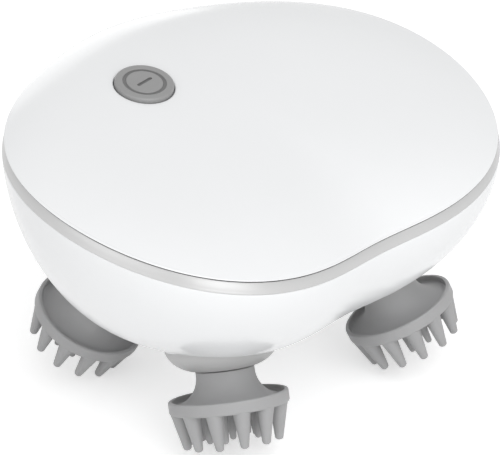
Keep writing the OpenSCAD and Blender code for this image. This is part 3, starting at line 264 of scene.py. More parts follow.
def skin(rings, closed=False, start=None, end=None):
    """Points and faces of a surface through rings; start and end are poles that close it."""
    n = len(rings[0])
    points = [p for r in rings for p in r]
    faces = []
    last = len(rings) if closed else len(rings) - 1
    for j in range(last):
        q = (j + 1) % len(rings)
        for i in range(n):
            k = (i + 1) % n
            faces.append((j * n + i, j * n + k, q * n + k, q * n + i))
    if start is not None:
        points.append(start)
        faces += [((i + 1) % n, i, len(points) - 1) for i in range(n)]
    if end is not None:
        base = (len(rings) - 1) * n
        points.append(end)
        faces += [(base + i, base + (i + 1) % n, len(points) - 1) for i in range(n)]
    return points, faces


def lathe(profile, steps):
    """Points and faces of a closed solid turned from (radius, height) pairs about z."""
    rings = []
    start = end = None
    if profile[0][0] < 1e-6:
        start = (0, 0, profile[0][1])
        profile = profile[1:]
    if profile[-1][0] < 1e-6:
        end = (0, 0, profile[-1][1])
        profile = profile[:-1]
    for r, h in profile:
        rings.append([(r * math.cos(turn(i, steps)), r * math.sin(turn(i, steps)), h)
                      for i in range(steps)])
    return skin(rings, closed=start is None, start=start, end=end)


def arc(cx, cy, r, a0, a1, n):
    """Points of an arc in the (radius, height) plane, degrees."""
    return [(cx + r * math.cos(math.radians(a0 + (a1 - a0) * k / n)),
             cy + r * math.sin(math.radians(a0 + (a1 - a0) * k / n))) for k in range(n + 1)]


def curve(points, per=5):
    """Smooth line through points (Catmull-Rom), per steps between two of them."""
    out = []
    ext = [points[0]] + list(points) + [points[-1]]
    for k in range(1, len(ext) - 2):
        p0, p1, p2, p3 = (Vector((*q, 0)) for q in ext[k - 1:k + 3])
        for s in range(per):
            t = s / per
            v = 0.5 * ((2 * p1) + (p2 - p0) * t + (2 * p0 - 5 * p1 + 4 * p2 - p3) * t * t
                       + (3 * p1 - p0 - 3 * p2 + p3) * t ** 3)
            out.append((v.x, v.y))
    out.append(tuple(points[-1]))
    return out


def cylinder(r, z0, z1, steps=64):
    """Points and faces of a cylinder from z0 to z1, used to join or cut."""
    return lathe([(0, z0), (r, z0), (r, z1), (0, z1)], steps)


def merge(parts):
    """One points-and-faces pair from several, each (points, faces, matrix or None)."""
    points, faces = [], []
    for pts, fcs, m in parts:
        base = len(points)
        points += [tuple(m @ Vector(p)) for p in pts] if m else list(pts)
        faces += [tuple(i + base for i in f) for f in fcs]
    return points, faces


def carve(obj, parts, operation, place=LIFT):
    """Joins parts to obj or cuts them out of it; the parts don't overlap one another."""
    carve_with(obj, make_object("tool", *merge(parts), place), operation)


def carve_with(obj, tool, operation):
    """Joins tool to obj or cuts it out, and removes tool."""
    mod = obj.modifiers.new("carve", "BOOLEAN")
    mod.operation = operation
    mod.solver = "MANIFOLD"
    mod.object = tool
    graph = bpy.context.evaluated_depsgraph_get()
    mesh = bpy.data.meshes.new_from_object(obj.evaluated_get(graph))
    obj.modifiers.clear()
    old = obj.data
    name = old.name
    obj.data = mesh
    bpy.data.meshes.remove(old)
    mesh.name = name
    drop = tool.data
    bpy.data.objects.remove(tool)
    bpy.data.meshes.remove(drop)


def clean(obj, gap=0.004):
    """Closes the slivers narrower than gap, in millimetres, that carving leaves."""
    bm = bmesh.new()
    bm.from_mesh(obj.data)
    bmesh.ops.remove_doubles(bm, verts=bm.verts, dist=gap * MM)
    bmesh.ops.dissolve_degenerate(bm, edges=bm.edges, dist=gap * MM / 2)
    bmesh.ops.triangulate(bm, faces=[f for f in bm.faces if len(f.verts) > 4])
    bmesh.ops.dissolve_degenerate(bm, edges=bm.edges, dist=gap * MM / 2)
    bm.to_mesh(obj.data)
    bm.free()


# ---------------------------------------------------------------- materials
def srgb(v):
    """Linear value of an 8-bit grey level."""
    c = v / 255
    return c / 12.92 if c <= 0.04045 else ((c + 0.055) / 1.055) ** 2.4


class Nodes:
    """Short names for building one material's node tree."""

    def __init__(self, name):
        self.material = bpy.data.materials.new(name)
        self.material.use_nodes = True
        self.tree = self.material.node_tree
        self.tree.nodes.clear()
        self.out = self.add("ShaderNodeOutputMaterial")
        self.shader = self.add("ShaderNodeBsdfPrincipled")
        self.link(self.shader, "BSDF", self.out, "Surface")
        self.coords = self.add("ShaderNodeTexCoord")

    def add(self, kind, **settings):
        node = self.tree.nodes.new(kind)
        for key, value in settings.items():
            setattr(node, key, value)
        return node

    def link(self, a, a_out, b, b_in):
        self.tree.links.new(a.outputs[a_out], b.inputs[b_in])

    def noise(self, scale, detail=3.0, roughness=0.5, stretch=None):
        node = self.add("ShaderNodeTexNoise")
        node.inputs["Scale"].default_value = scale
        node.inputs["Detail"].default_value = detail
        node.inputs["Roughness"].default_value = roughness
        if stretch:
            mapping = self.add("ShaderNodeMapping")
            mapping.inputs["Scale"].default_value = stretch
            self.link(self.coords, "Object", mapping, "Vector")
            self.link(mapping, "Vector", node, "Vector")
        else:
            self.link(self.coords, "Object", node, "Vector")
        return node

    def spread(self, source, low, high, out_low, out_high, output="Fac"):
        node = self.add("ShaderNodeMapRange")
        node.inputs["From Min"].default_value = low
        node.inputs["From Max"].default_value = high
        node.inputs["To Min"].default_value = out_low
        node.inputs["To Max"].default_value = out_high
        self.link(source, output, node, "Value")
        return node

    def ramp(self, source, stops, output="Fac"):
        node = self.add("ShaderNodeValToRGB")
        marks = node.color_ramp.elements
        while len(marks) < len(stops):
            marks.new(0.5)
        for mark, (where, colour) in zip(marks, stops):
            mark.position = where
            mark.color = (*colour, 1)
        self.link(source, output, node, "Fac")
        return node

    def bump(self, height, output, strength, distance, under=None):
        node = self.add("ShaderNodeBump")
        node.inputs["Strength"].default_value = strength
        node.inputs["Distance"].default_value = distance
        self.link(height, output, node, "Height")
        if under:
            self.link(under, "Normal", node, "Normal")
        return node


def tinted(base, change):
    """The colour made lighter or darker by a factor."""
    return tuple(min(1.0, max(0.0, c * change)) for c in base)


def moulded(name, base, rough, grain=900.0, grain_depth=0.00002, mottle=0.03, coat=0.0,
            metallic=0.0, spec=0.5, soft=0.0, wave=0.0):
    """Moulded or painted surface: faint mottling, uneven gloss and a fine grain."""
    n = Nodes(name)
    s = n.shader
    broad = n.noise(28.0, 3.0)
    fine = n.noise(grain, 2.0)
    colour = n.ramp(broad, [(0.3, tinted(base, 1 - mottle)), (0.7, tinted(base, 1 + mottle * 0.5))])
    n.link(colour, "Color", s, "Base Color")
    gloss = n.spread(n.noise(65.0, 4.0), 0.3, 0.7, rough * 0.88, rough * 1.14)
    n.link(gloss, "Result", s, "Roughness")
    relief = n.bump(fine, "Fac", 0.35, grain_depth)
    if wave:
        relief = n.bump(n.noise(60.0, 1.0), "Fac", 0.25, wave, relief)
    n.link(relief, "Normal", s, "Normal")
    s.inputs["Metallic"].default_value = metallic
    s.inputs["Specular IOR Level"].default_value = spec
    s.inputs["Coat Weight"].default_value = coat
    s.inputs["Coat Roughness"].default_value = 0.12
    if soft:
        s.inputs["Subsurface Weight"].default_value = soft
        s.inputs["Subsurface Radius"].default_value = (0.0022, 0.0020, 0.0018)
        s.inputs["Subsurface Scale"].default_value = 1.0
    return n.material


def turned(name, base, rough, metallic=1.0):
    """Turned or ground metal: fine circular lines, smudges and uneven gloss."""
    n = Nodes(name)
    s = n.shader
    lines = n.noise(700.0, 2.0, stretch=(0.15, 0.15, 3.0))
    smudge = n.noise(90.0, 4.0)
    colour = n.ramp(smudge, [(0.3, tinted(base, 0.9)), (0.7, tinted(base, 1.04))])
    n.link(colour, "Color", s, "Base Color")
    gloss = n.spread(lines, 0.3, 0.7, rough * 0.75, rough * 1.3)
    n.link(gloss, "Result", s, "Roughness")
    n.link(n.bump(lines, "Fac", 0.3, 0.00002), "Normal", s, "Normal")
    s.inputs["Metallic"].default_value = metallic
    return n.material


def grey(v, tint=(1.0, 1.0, 1.0)):
    """Linear colour of an 8-bit grey level, with a slight tint."""
    return tuple(srgb(v) * t for t in tint)


def build_materials():
    return {
        "case_white": moulded("case_white", grey(243, (0.99, 1.0, 1.01)), 0.24, 1500.0, 0.000008,
                              0.012, coat=0.1, wave=0.00004),
        "trim_silver": moulded("trim_silver", grey(197), 0.36, 2600.0, 0.00001, 0.02,
                               metallic=0.45),
        "gasket_dark": moulded("gasket_dark", grey(58), 0.6, 1200.0, 0.00002, 0.06),
        "button_grey": button_material(),
        "claw_silicone": moulded("claw_silicone", grey(166, (1.0, 1.0, 1.01)), 0.52, 1300.0,
                                 0.00003, 0.035, soft=0.12),
        "collar_grey": moulded("collar_grey", grey(184), 0.45, 1500.0, 0.00002, 0.03),
        "black_plastic": moulded("black_plastic", grey(40), 0.5, 1200.0, 0.00003, 0.08),
        "connector_cream": moulded("connector_cream", (0.72, 0.66, 0.5), 0.4, 1200.0, 0.00002),
        "frame_plastic": moulded("frame_plastic", (0.68, 0.68, 0.64), 0.45, 900.0, 0.00003, 0.04),
        "gear_plastic": moulded("gear_plastic", (0.76, 0.72, 0.58), 0.32, 1100.0, 0.00002, 0.04),
        "hub_plastic": moulded("hub_plastic", grey(84), 0.45, 1100.0, 0.00003, 0.05),
        "seal_rubber": moulded("seal_rubber", grey(48), 0.62, 1400.0, 0.00003, 0.08),
        "gearbox_grey": moulded("gearbox_grey", grey(96), 0.38, 800.0, 0.00004, 0.06, metallic=0.4),
        "battery_foil": moulded("battery_foil", grey(190), 0.3, 420.0, 0.00005, 0.05, metallic=0.8),
        "board_green": board_material(),
        "switch_metal": turned("switch_metal", grey(190), 0.32),
        "screw_steel": turned("screw_steel", grey(185), 0.28),
        "motor_steel": turned("motor_steel", grey(190), 0.3),
        "shaft_steel": turned("shaft_steel", grey(205), 0.2),
        "bush_bronze": turned("bush_bronze", (0.42, 0.27, 0.11), 0.38),
        "contact_gold": turned("contact_gold", (0.72, 0.5, 0.18), 0.2),
        "magnet_nickel": turned("magnet_nickel", grey(200), 0.15),
    }


def button_material():
    """Satin grey, darker in the engraved ring and bar: the mark's own darker tone together with painted shade in
    its grooves.
    """
    # The second grey is painted into the engraved ring and bar: painted shade of the grooves, together with the
    # mark's darker tone.
    base, groove_shade = grey(149), grey(110)
    n = Nodes("button_grey")
    s = n.shader
    to_button = n.add("ShaderNodeMapping", vector_type="TEXTURE")
    to_button.inputs["Location"].default_value = AT_BUTTON.translation * MM
    to_button.inputs["Rotation"].default_value = AT_BUTTON.to_euler()
    n.link(n.coords, "Object", to_button, "Vector")
    axes = n.add("ShaderNodeSeparateXYZ")
    n.link(to_button, "Vector", axes, "Vector")
    top = BTN_PROUD * MM
    # Painted shade: the mask is 1 on the groove floors, sunk below the cap's top, inside the ring's outer edge.
    deep = n.spread(axes, top - 0.9 * MARK_D * MM, top - 0.4 * MARK_D * MM, 1, 0, "Z")
    flat = n.add("ShaderNodeCombineXYZ")
    n.link(axes, "X", flat, "X")
    n.link(axes, "Y", flat, "Y")
    radius = n.add("ShaderNodeVectorMath", operation="LENGTH")
    n.link(flat, "Vector", radius, "Vector")
    edge = (MARK_R + 0.2) * MM
    near = n.spread(radius, edge, edge + 0.0001, 1, 0, "Value")
    painted = n.add("ShaderNodeMath", operation="MULTIPLY")
    n.link(deep, "Result", painted, 0)
    n.link(near, "Result", painted, 1)
    cap = n.ramp(n.noise(28.0), [(0.3, tinted(base, 0.97)), (0.7, tinted(base, 1.015))])
    groove_shade_ramp = n.ramp(n.noise(120.0), [(0.3, tinted(groove_shade, 0.95)), (0.7, tinted(groove_shade, 1.03))])
    mix = n.add("ShaderNodeMix", data_type="RGBA")
    n.link(painted, "Value", mix, "Factor")
    n.tree.links.new(cap.outputs["Color"], mix.inputs[6])
    n.tree.links.new(groove_shade_ramp.outputs["Color"], mix.inputs[7])
    n.tree.links.new(mix.outputs[2], s.inputs["Base Color"])
    gloss = n.spread(n.noise(65.0, 4.0), 0.3, 0.7, 0.37, 0.48)
    n.link(gloss, "Result", s, "Roughness")
    n.link(n.bump(n.noise(1800.0, 2.0), "Fac", 0.35, 0.00002), "Normal", s, "Normal")
    return n.material


def board_material():
    """Solder-masked laminate: a green ground with lighter tracks and a woven grain."""
    n = Nodes("board_green")
    s = n.shader
    tracks = n.add("ShaderNodeTexBrick")
    tracks.inputs["Scale"].default_value = 260.0
    tracks.inputs["Mortar Size"].default_value = 0.06
    tracks.inputs["Color1"].default_value = (0.012, 0.11, 0.045, 1)
    tracks.inputs["Color2"].default_value = (0.014, 0.13, 0.052, 1)
    tracks.inputs["Mortar"].default_value = (0.03, 0.21, 0.08, 1)
    n.link(n.coords, "Object", tracks, "Vector")
    n.link(tracks, "Color", s, "Base Color")
    gloss = n.spread(n.noise(300.0), 0.3, 0.7, 0.25, 0.4)
    n.link(gloss, "Result", s, "Roughness")
    n.link(n.bump(tracks, "Fac", 0.3, 0.00003), "Normal", s, "Normal")
    return n.material


MATERIALS = build_materials()


def dress(obj, slot):
    """The piece takes its finish."""
    obj.data.materials.clear()
    obj.data.materials.append(MATERIALS[slot])


def settle(obj, body, slot, *nodes):
    """The piece takes its finish, rides on its body and stands for its CAD nodes."""
    dress(obj, slot)
    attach(obj, body)
    if nodes:
        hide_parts(*nodes)
    return obj


# ---------------------------------------------------------------- top cover
# Offset from the outline and drop below the edge, along the cover's rounded edge
COVER_EDGE = ((-0.5, -0.21), (-0.3, -0.13), (-0.16, -0.06), (-0.06, 0.0), (-0.01, 0.07),
              (-0.02, 0.13), (-0.1, EDGE_DROP))
# Distance out from the button's hole and drop below the surface, over the hole's rounded edge
HOLE_EDGE = ((0, 0.4), (0.03, 0.2), (0.12, 0.07), (0.28, 0.01), (0.5, 0.0))
LIP_OUT = RING_IN + TONGUE_T + LIP_GAP
LIP_IN = LIP_OUT + LIP_T
GUIDE_WALL, BEVEL = 1.4, 0.2


def button_local(u, v, w):
    """Point of the case from its place in the button's frame."""
    return tuple(ON_BUTTON @ Vector((u, v, w)))


def surface_w(u, v):
    """Height of the cover's surface over the button's own plane."""
    w = 0.0
    for _ in range(4):
        x, y, z = button_local(u, v, w)
        w += (cover_z(x, y) - z) * math.cos(TOP_TILT)
    return w


def button_ring(r, depth, on_surface=False):
    """Ring about the button's axis, depth below its plane or below the surface."""
    ring = []
    for a in ANGLES:
        u, v = r * math.cos(a), r * math.sin(a)
        w = (surface_w(u, v) if on_surface else 0.0) - depth
        ring.append(button_local(u, v, w))
    return ring


def rays(start_ring, off):
    """Where the rays from the button's middle through start_ring meet the outline."""
    hits = []
    for x, y, _ in start_ring:
        d = Vector((x - BTN_X, y - BTN_Y)).normalized()
        hits.append(outline_hit(BTN_X, BTN_Y, d.x, d.y, off))
    return hits


def lip_z(x, y):
    """Height of the cover's inner surface."""
    a, r = polar(x, y)
    share = r * plan_raw(a) / (plan_raw(a) - LIP_IN)
    return crown_z(a, min(r, 1)) - WALL * (1 - LIP_THIN * min(share, 1.0) ** 6)


def between(ring_a, ring_b, shares, height):
    """Rings at the given shares of the way from ring_a to ring_b, on a surface."""
    out = []
    for s in shares:
        ring = []
        for (xa, ya, *_), (xb, yb, *_) in zip(ring_a, ring_b):
            x, y = xa + (xb - xa) * s, ya + (yb - ya) * s
            ring.append((x, y, height(x, y)))
        out.append(ring)
    return out


def edge_ring_at(hits, drop):
    """Ring through the hits, at a drop below the cover's edge."""
    return [(x, y, edge_z(math.atan2(y + PLAN_CY, x)) - drop) for x, y in hits]


def make_cover():
    """Dome, button pocket, rounded edge and locating lip as one closed skin."""
    hole, bore = BTN_R + BTN_GAP, STEM_R + RUN_GAP
    pocket = ((bore, GUIDE_D), (bore, POCKET_D + 0.15), (bore + 0.15, POCKET_D),
              (hole - BEVEL, POCKET_D), (hole, POCKET_D - BEVEL))
    rings = [button_ring(r, depth) for r, depth in pocket]
    rings += [button_ring(hole + out, drop, True) for out, drop in HOLE_EDGE]
    first = rings[-1]
    steps = int(56 * FINE)
    shares = [1 - (1 - k / steps) ** 1.5 for k in range(1, steps)]
    rings += between(first, rays(first, COVER_EDGE[0][0]), shares, cover_z)
    lip = ((-LIP_OUT, EDGE_DROP), (-LIP_OUT, LIP_H - BEVEL), (-LIP_OUT - BEVEL, LIP_H),
           (-LIP_IN + BEVEL, LIP_H), (-LIP_IN, LIP_H - BEVEL))
    rings += [edge_ring_at(rays(first, off), drop) for off, drop in COVER_EDGE + lip]
    guide = button_ring(hole + GUIDE_WALL, 0.0)
    inner = [(x, y, 0) for x, y in rays(first, -LIP_IN)]
    rings += between(guide, inner, [k / 20 for k in range(20, -1, -1)], lip_z)
    rings.append(button_ring(hole + GUIDE_WALL, GUIDE_D - BEVEL))
    rings.append(button_ring(hole + GUIDE_WALL - BEVEL, GUIDE_D))
    cover = make_object("cover_skin", *skin(rings, closed=True))
    settle(cover, "housing", "case_white", "top_cover")


def blind_post(bore, radius, low, bore_end, top):
    """A post with a blind hole in its lower end."""
    return lathe([(0, bore_end), (bore, bore_end), (bore, low), (radius, low), (radius, top),
                  (0, top)], 32)


def make_cover_posts():
    """Screw posts under the cover: two for the case, and four for the board."""
    posts = []
    for x in (-COVER_SCREW_X, COVER_SCREW_X):
        top = cover_z(x, 0) - WALL + POST_ROOT
        posts.append(at(x, 0, blind_post(COVER_SCREW_R + FIT, COVER_POST_R, SPLIT_Z,
                                         SPLIT_Z + COVER_HOLE, top)))
    for u in (-BOARD_U, BOARD_U):
        for v in (-BOARD_V, BOARD_V):
            x = BOARD_X + u
            top = surface_w(x, v) - WALL + POST_ROOT
            post = blind_post(SCREW_R + FIT, BOARD_POST_R, -BOARD_Z, BOARD_HOLE - BOARD_Z, top)
            posts.append((*post, ON_BUTTON @ Matrix.Translation((x, v, 0))))
    settle(make_object("cover_posts", *merge(posts)), "housing", "case_white")


# ---------------------------------------------------------------- ring, gasket and shell
def band_ring(off, drop):
    """Ring along the case's edge, moved out by off and down by drop."""
    return [(*plan_pt(a, off), edge_z(a) - drop) for a in ANGLES]


# Offset from the outline and drop below the cover's edge, at the band's top and foot
BAND_TOP = ((-RING_IN, GASKET_T), (-0.42, GASKET_T), (-0.28, GASKET_T + 0.04),
            (-0.19, GASKET_T + 0.14))
BAND_FOOT = ((BAND_OUT - 0.02, BAND_H - 0.2), (BAND_OUT - 0.03, BAND_H - 0.08),
             (BAND_OUT - 0.14, BAND_H - 0.03), (-RING_IN, BAND_H - 0.03))
BAND_LEAN = (BAND_OUT + 0.2) / (BAND_H - GASKET_T)
BAND_BULGE, BAND_STEPS, SEAM = 0.1, 8, 0.04


def make_trim():
    """Silver band with softly rounded edges and a barely convex face."""
    start, low = BAND_TOP[-1]
    face = []
    for k in range(1, BAND_STEPS):
        s = k / BAND_STEPS
        down = (BAND_FOOT[0][1] - low) * s
        face.append((start + BAND_LEAN * down + BAND_BULGE * math.sin(math.pi * s), low + down))
    rings = [band_ring(off, drop) for off, drop in (*BAND_TOP, *face, *BAND_FOOT)]
    band = make_object("trim_band", *skin(rings, closed=True))
    settle(band, "housing", "trim_silver", "trim_ring")


def make_gasket():
    """Thin dark seal that shows as a line between the cover and the band."""
    inner, outer = TONGUE_IN, -GASKET_IN
    top, low = EDGE_DROP + SEAM / 2, GASKET_T - 0.75 * SEAM
    profile = ((inner, top), (inner, low), (outer - SEAM, low), (outer, low - SEAM),
               (outer, top + SEAM), (outer - SEAM, top))
    rings = [band_ring(off, drop) for off, drop in profile]
    line = make_object("gasket_line", *skin(rings, closed=True))
    settle(line, "housing", "gasket_dark", "case_gasket")


# Distance past the pad's radius and height, along the pad's rounded edge
PAD_EDGE = ((-0.9, -PAD_T), (-0.25, -PAD_T), (-0.07, 0.07 - PAD_T), (0, 0.25 - PAD_T),
            (0, -0.06), (0.1, 0))
# Distance in from the bowl's rim and drop below it, along its rounded edge
BOWL_EDGE = ((0, 0.3), (0.02, 0.12), (0.12, 0.02), (0.3, 0))


def pad_ring(r, z):
    """Ring on the underside, in the directions of the bowl's own points."""
    ring = []
    for a in ANGLES:
        rim = plan_pt(a, BAND_OUT)
        b = math.atan2(rim[1], rim[0])
        ring.append((r * math.cos(b), r * math.sin(b), z))
    return ring


def bowl_rings(off, floor_z, shares):
    """Rings of the bowl's surface, moved in by off, at shares of the way down."""
    return [[bowl_pt(a, p, off, floor_z, edge_z(a) - BAND_H) for a in ANGLES] for p in shares]


def at(x, y, part):
    """The part moved to x, y."""
    return (*part, Matrix.Translation((x, y, 0)))


def each_head(part):
    """The part once in each head's frame."""
    return [(*part, LIFT.inverted() @ m) for m in HEADS.values()]


def shell_outside():
    """Bowl filled up to the tongue's top, with the rest pad under it."""
    rows = int(44 * FINE)
    rings = [pad_ring(PAD_R + out, z) for out, z in PAD_EDGE]
    rings += bowl_rings(0, 0, [1 - k / rows for k in range(rows)])
    rings += [band_ring(BAND_OUT - inward, BAND_H + drop) for inward, drop in BOWL_EDGE]
    rings += [band_ring(-RING_IN, BAND_H), band_ring(-RING_IN, GASKET_T),
              band_ring(TONGUE_IN - 0.3, GASKET_T)]
    return skin(rings, start=(0, 0, -PAD_T), end=(0, 0, BAND_MID))


def shell_inside():
    """Space inside the bowl, running out over its tongue."""
    rings = bowl_rings(BAND_OUT - TONGUE_IN, WALL, [1 - k / 16 for k in range(16)])
    rings += [band_ring(TONGUE_IN, BAND_H), band_ring(TONGUE_IN, GASKET_T - 2)]
    return skin(rings, start=(0, 0, WALL), end=(0, 0, BAND_MID + 2))


def shell_space():
    """Inner space of the shell, without the posts, bosses and cups that stand in it."""
    space = make_object("space", *shell_inside())
    posts = [at(x, y, cylinder(POST_R, 0, PLATE_Z)) for x, y in POSTS]
    boss = cylinder(GEAR_BOSS_R, 0, MAIN_Z - GEAR_BOSS_DROP)
    posts += [at(x, 0, boss) for x in (-AXLE_X, AXLE_X)]
    posts += [at(x, 0, cylinder(COVER_POST_R, 0, SPLIT_Z)) for x in (-COVER_SCREW_X, COVER_SCREW_X)]
    posts.append(at(DRIVE_X, DRIVE_Y, cylinder(GEAR_BOSS_R, 0, MAIN_Z - DRIVE_BOSS_DROP)))
    carve(space, posts, "DIFFERENCE")
    cup = cylinder(COLLAR_R + COLLAR_GAP + BOSS_WALL, COLLAR_D, BOSS_TOP_D, 128)
    carve(space, each_head(cup), "DIFFERENCE")
    housing = block(DOCK_W + 2 * DOCK_WALL, DOCK_T + DOCK_REACH, DOCK_H + 2 * DOCK_WALL,
                    (0, (DOCK_REACH - DOCK_T) / 2, 0))
    carve(space, [at_dock(0, housing)], "DIFFERENCE")
    return space


def cut_head_seats(shell):
    """Recesses for the collars, with their spigots, wells, spindle holes and screw holes."""
    for tool in (
        cylinder(COLLAR_R + COLLAR_GAP, -DISC_T, SEAT_D, 128),
        cylinder(WELL_R, BOSS_TOP_D, BOSS_END + 2, 96),
        cylinder(SPIGOT_R + COLLAR_GAP, SEAT_D - 1, SEAT_D + SPIGOT_H, 96),
        cylinder(SPINDLE_R + SPINDLE_GAP, SEAT_D, BOSS_TOP_D + 1, 48),
    ):
        carve(shell, each_head(tool), "DIFFERENCE")
    hole = cylinder(SCREW_R + SCREW_GAP, SEAT_D + 1, BOSS_TOP_D + 1, 24)
    place = Matrix.Translation((SCREW_PCR, 0, 0))
    holes = merge([(*hole, Matrix.Rotation(turn(k, 3), 4, "Z") @ place) for k in range(3)])
    carve(shell, each_head(holes), "DIFFERENCE")


def cut_screws_and_axles(shell):
    """Wells of the cover screws, holes of the plate screws, and the gears' and shaft's seats."""
    head_z, hole_r = SPLIT_Z - COVER_SCREW_SINK, COVER_SCREW_R + SCREW_GAP
    well = lathe([(0, -1), (COVER_HEAD_R + COLLAR_GAP, -1), (COVER_HEAD_R + COLLAR_GAP, head_z),
                  (hole_r, head_z), (hole_r, SPLIT_Z + 2), (0, SPLIT_Z + 2)], 48)
    cuts = [at(x, 0, well) for x in (-COVER_SCREW_X, COVER_SCREW_X)]
    post_hole = cylinder(SCREW_R + FIT, PLATE_Z - POST_HOLE, PLATE_Z + 1, 24)
    cuts += [at(x, y, post_hole) for x, y in POSTS]
    axle = cylinder(AXLE_R + FIT, MAIN_Z - AXLE_SINK, MAIN_Z + 2, 32)
    cuts += [at(x, 0, axle) for x in (-AXLE_X, AXLE_X)]
    carve(shell, cuts, "DIFFERENCE")
    relief = cylinder(PINION_R, MAIN_Z - PINION_DROP, PLATE_Z, 64)
    carve(shell, [at(DRIVE_X, DRIVE_Y, relief)], "DIFFERENCE")
    shaft = cylinder(DRIVE_R + RUN_GAP, MAIN_Z - DRIVE_SINK, MAIN_Z, 32)
    carve(shell, [at(DRIVE_X, DRIVE_Y, shaft)], "DIFFERENCE")


def at_dock(x, part):
    """The part in the charging pad's frame, with y pointing outward, moved by x."""
    return (*part, ON_DOCK @ Matrix.Translation((x, 0, 0)))


def cut_dock(shell):
    """Charging recess, the contacts' holes and the pockets of the magnets."""
    outward = Matrix.Rotation(-math.pi / 2, 4, "X")
    carve(shell, [at_dock(0, stadium(DOCK_W, DOCK_H, 0, DOCK_REACH))], "DIFFERENCE")
    pin_r, head_r, low = CONTACT_PIN_R + FIT, CONTACT_R + FIT, -DOCK_T - 2
    contact = merge([(*lathe([(0, low), (pin_r, low), (pin_r, -CONTACT_T), (head_r, -CONTACT_T),
                              (head_r, 1), (0, 1)], 32), outward)])
    carve(shell, [at_dock(x, contact) for x in (-CONTACT_GAP / 2, CONTACT_GAP / 2)], "DIFFERENCE")
    magnet = merge([(*cylinder(MAGNET_R + FIT, -DOCK_T - 1, MAGNET_T - DOCK_T, 48), outward)])
    carve(shell, [at_dock(x, magnet) for x in (-MAGNET_X, MAGNET_X)], "DIFFERENCE")


def make_shell():
    """Bowl with its tongue, rest pad, collar seats, posts, screw wells and charging recess."""
    shell = make_object("shell_bowl", *shell_outside())
    carve(shell, each_head(cylinder(COLLAR_R, SEAT_D, BOSS_END, 128)), "UNION")
    carve_with(shell, shell_space(), "DIFFERENCE")
    cut_head_seats(shell)
    cut_screws_and_axles(shell)
    cut_dock(shell)
    clean(shell)
    shade(shell)
    settle(shell, "housing", "case_white", "lower_shell")


def block(dx, dy, dz, centre):
    """Points and faces of a box, used to cut."""
    cx, cy, cz = centre
    pts = [(cx + x * dx / 2, cy + y * dy / 2, cz + z * dz / 2)
           for x in (-1, 1) for y in (-1, 1) for z in (-1, 1)]
    return pts, [(0, 1, 3, 2), (4, 6, 7, 5), (0, 4, 5, 1), (2, 3, 7, 6), (0, 2, 6, 4), (1, 5, 7, 3)]


def stadium(width, height, y0, y1, steps=24):
    """Round-ended prism along y."""
    r = height / 2
    outline = []
    for k in range(steps + 1):
        a = -math.pi / 2 + math.pi * k / steps
        outline.append((width / 2 - r + r * math.cos(a), r * math.sin(a)))
    for k in range(steps + 1):
        a = math.pi / 2 + math.pi * k / steps
        outline.append((-width / 2 + r + r * math.cos(a), r * math.sin(a)))
    n = len(outline)
    pts = [(x, y0, z) for x, z in outline] + [(x, y1, z) for x, z in outline]
    faces = [tuple(range(n)), tuple(range(2 * n - 1, n - 1, -1))]
    faces += [(i, n + i, n + (i + 1) % n, (i + 1) % n) for i in range(n)]
    return pts, faces


# ---------------------------------------------------------------- power button
# Distance away from the groove and depth, down the groove's softened wall
GROOVE = ((0.16, 0), (0.05, 0.03), (0, 0.1), (-0.05, MARK_D - 0.04), (-0.14, MARK_D))
CAP_EDGE, CAP_FOOT = 0.55, 0.12


def make_button():
    """Grey cap with a rounded edge, an engraved ring and an engraved bar, on its stem."""
    top, low, stem_end = BTN_PROUD, BTN_PROUD - BTN_T, -GUIDE_D - BEVEL
    profile = [(0, top)]
    profile += [(MARK_R - MARK_W - away, top - depth) for away, depth in GROOVE]
    profile += [(MARK_R + away, top - depth) for away, depth in reversed(GROOVE)]
    profile += arc(BTN_R - CAP_EDGE, top - CAP_EDGE, CAP_EDGE, 90, 0, 6)
    profile += [(BTN_R, low + CAP_FOOT), (BTN_R - CAP_FOOT, low), (STEM_R, low),
                (STEM_R, stem_end + BEVEL), (STEM_R - BEVEL, stem_end), (0, stem_end)]
    cap = make_object("button_cap", *lathe(profile, 128), place=AT_BUTTON)
    bar = stadium(MARK_L, MARK_W, 0, 2)
    upright = (Matrix.Translation((0, 0, top - MARK_D))
               @ Matrix.Rotation(math.radians(MARK_TURN), 4, "Z")
               @ Matrix.Rotation(math.pi / 2, 4, "X"))
    carve(cap, [(*bar, upright)], "DIFFERENCE", AT_BUTTON)
    shade(cap, 40)
    settle(cap, "power_button", "button_grey", "power_button")


# ---------------------------------------------------------------- heads
DISC_EDGE, NECK_EDGE, HUB_GAP, INNER_TURN = 0.5, 0.2, 0.4, 15
# Distance out from the dish's rim and height, down the dish's outer wall
DISH_WALL = ((0.05, -0.04), (-0.04, -0.3), (-0.09, -0.66 * DISH_D), (-0.19, -0.91 * DISH_D))
# Distance out from the finger's root and height, down the flared root
ROOT_FLARE = ((0.12, 0.6), (0.12, 0.02), (0.05, -0.18), (0, -0.45))
# Angles of the rings on the finger's blunt tip
TIP_RINGS = (0.35, 0.7, 1.0, 1.25, 1.42)


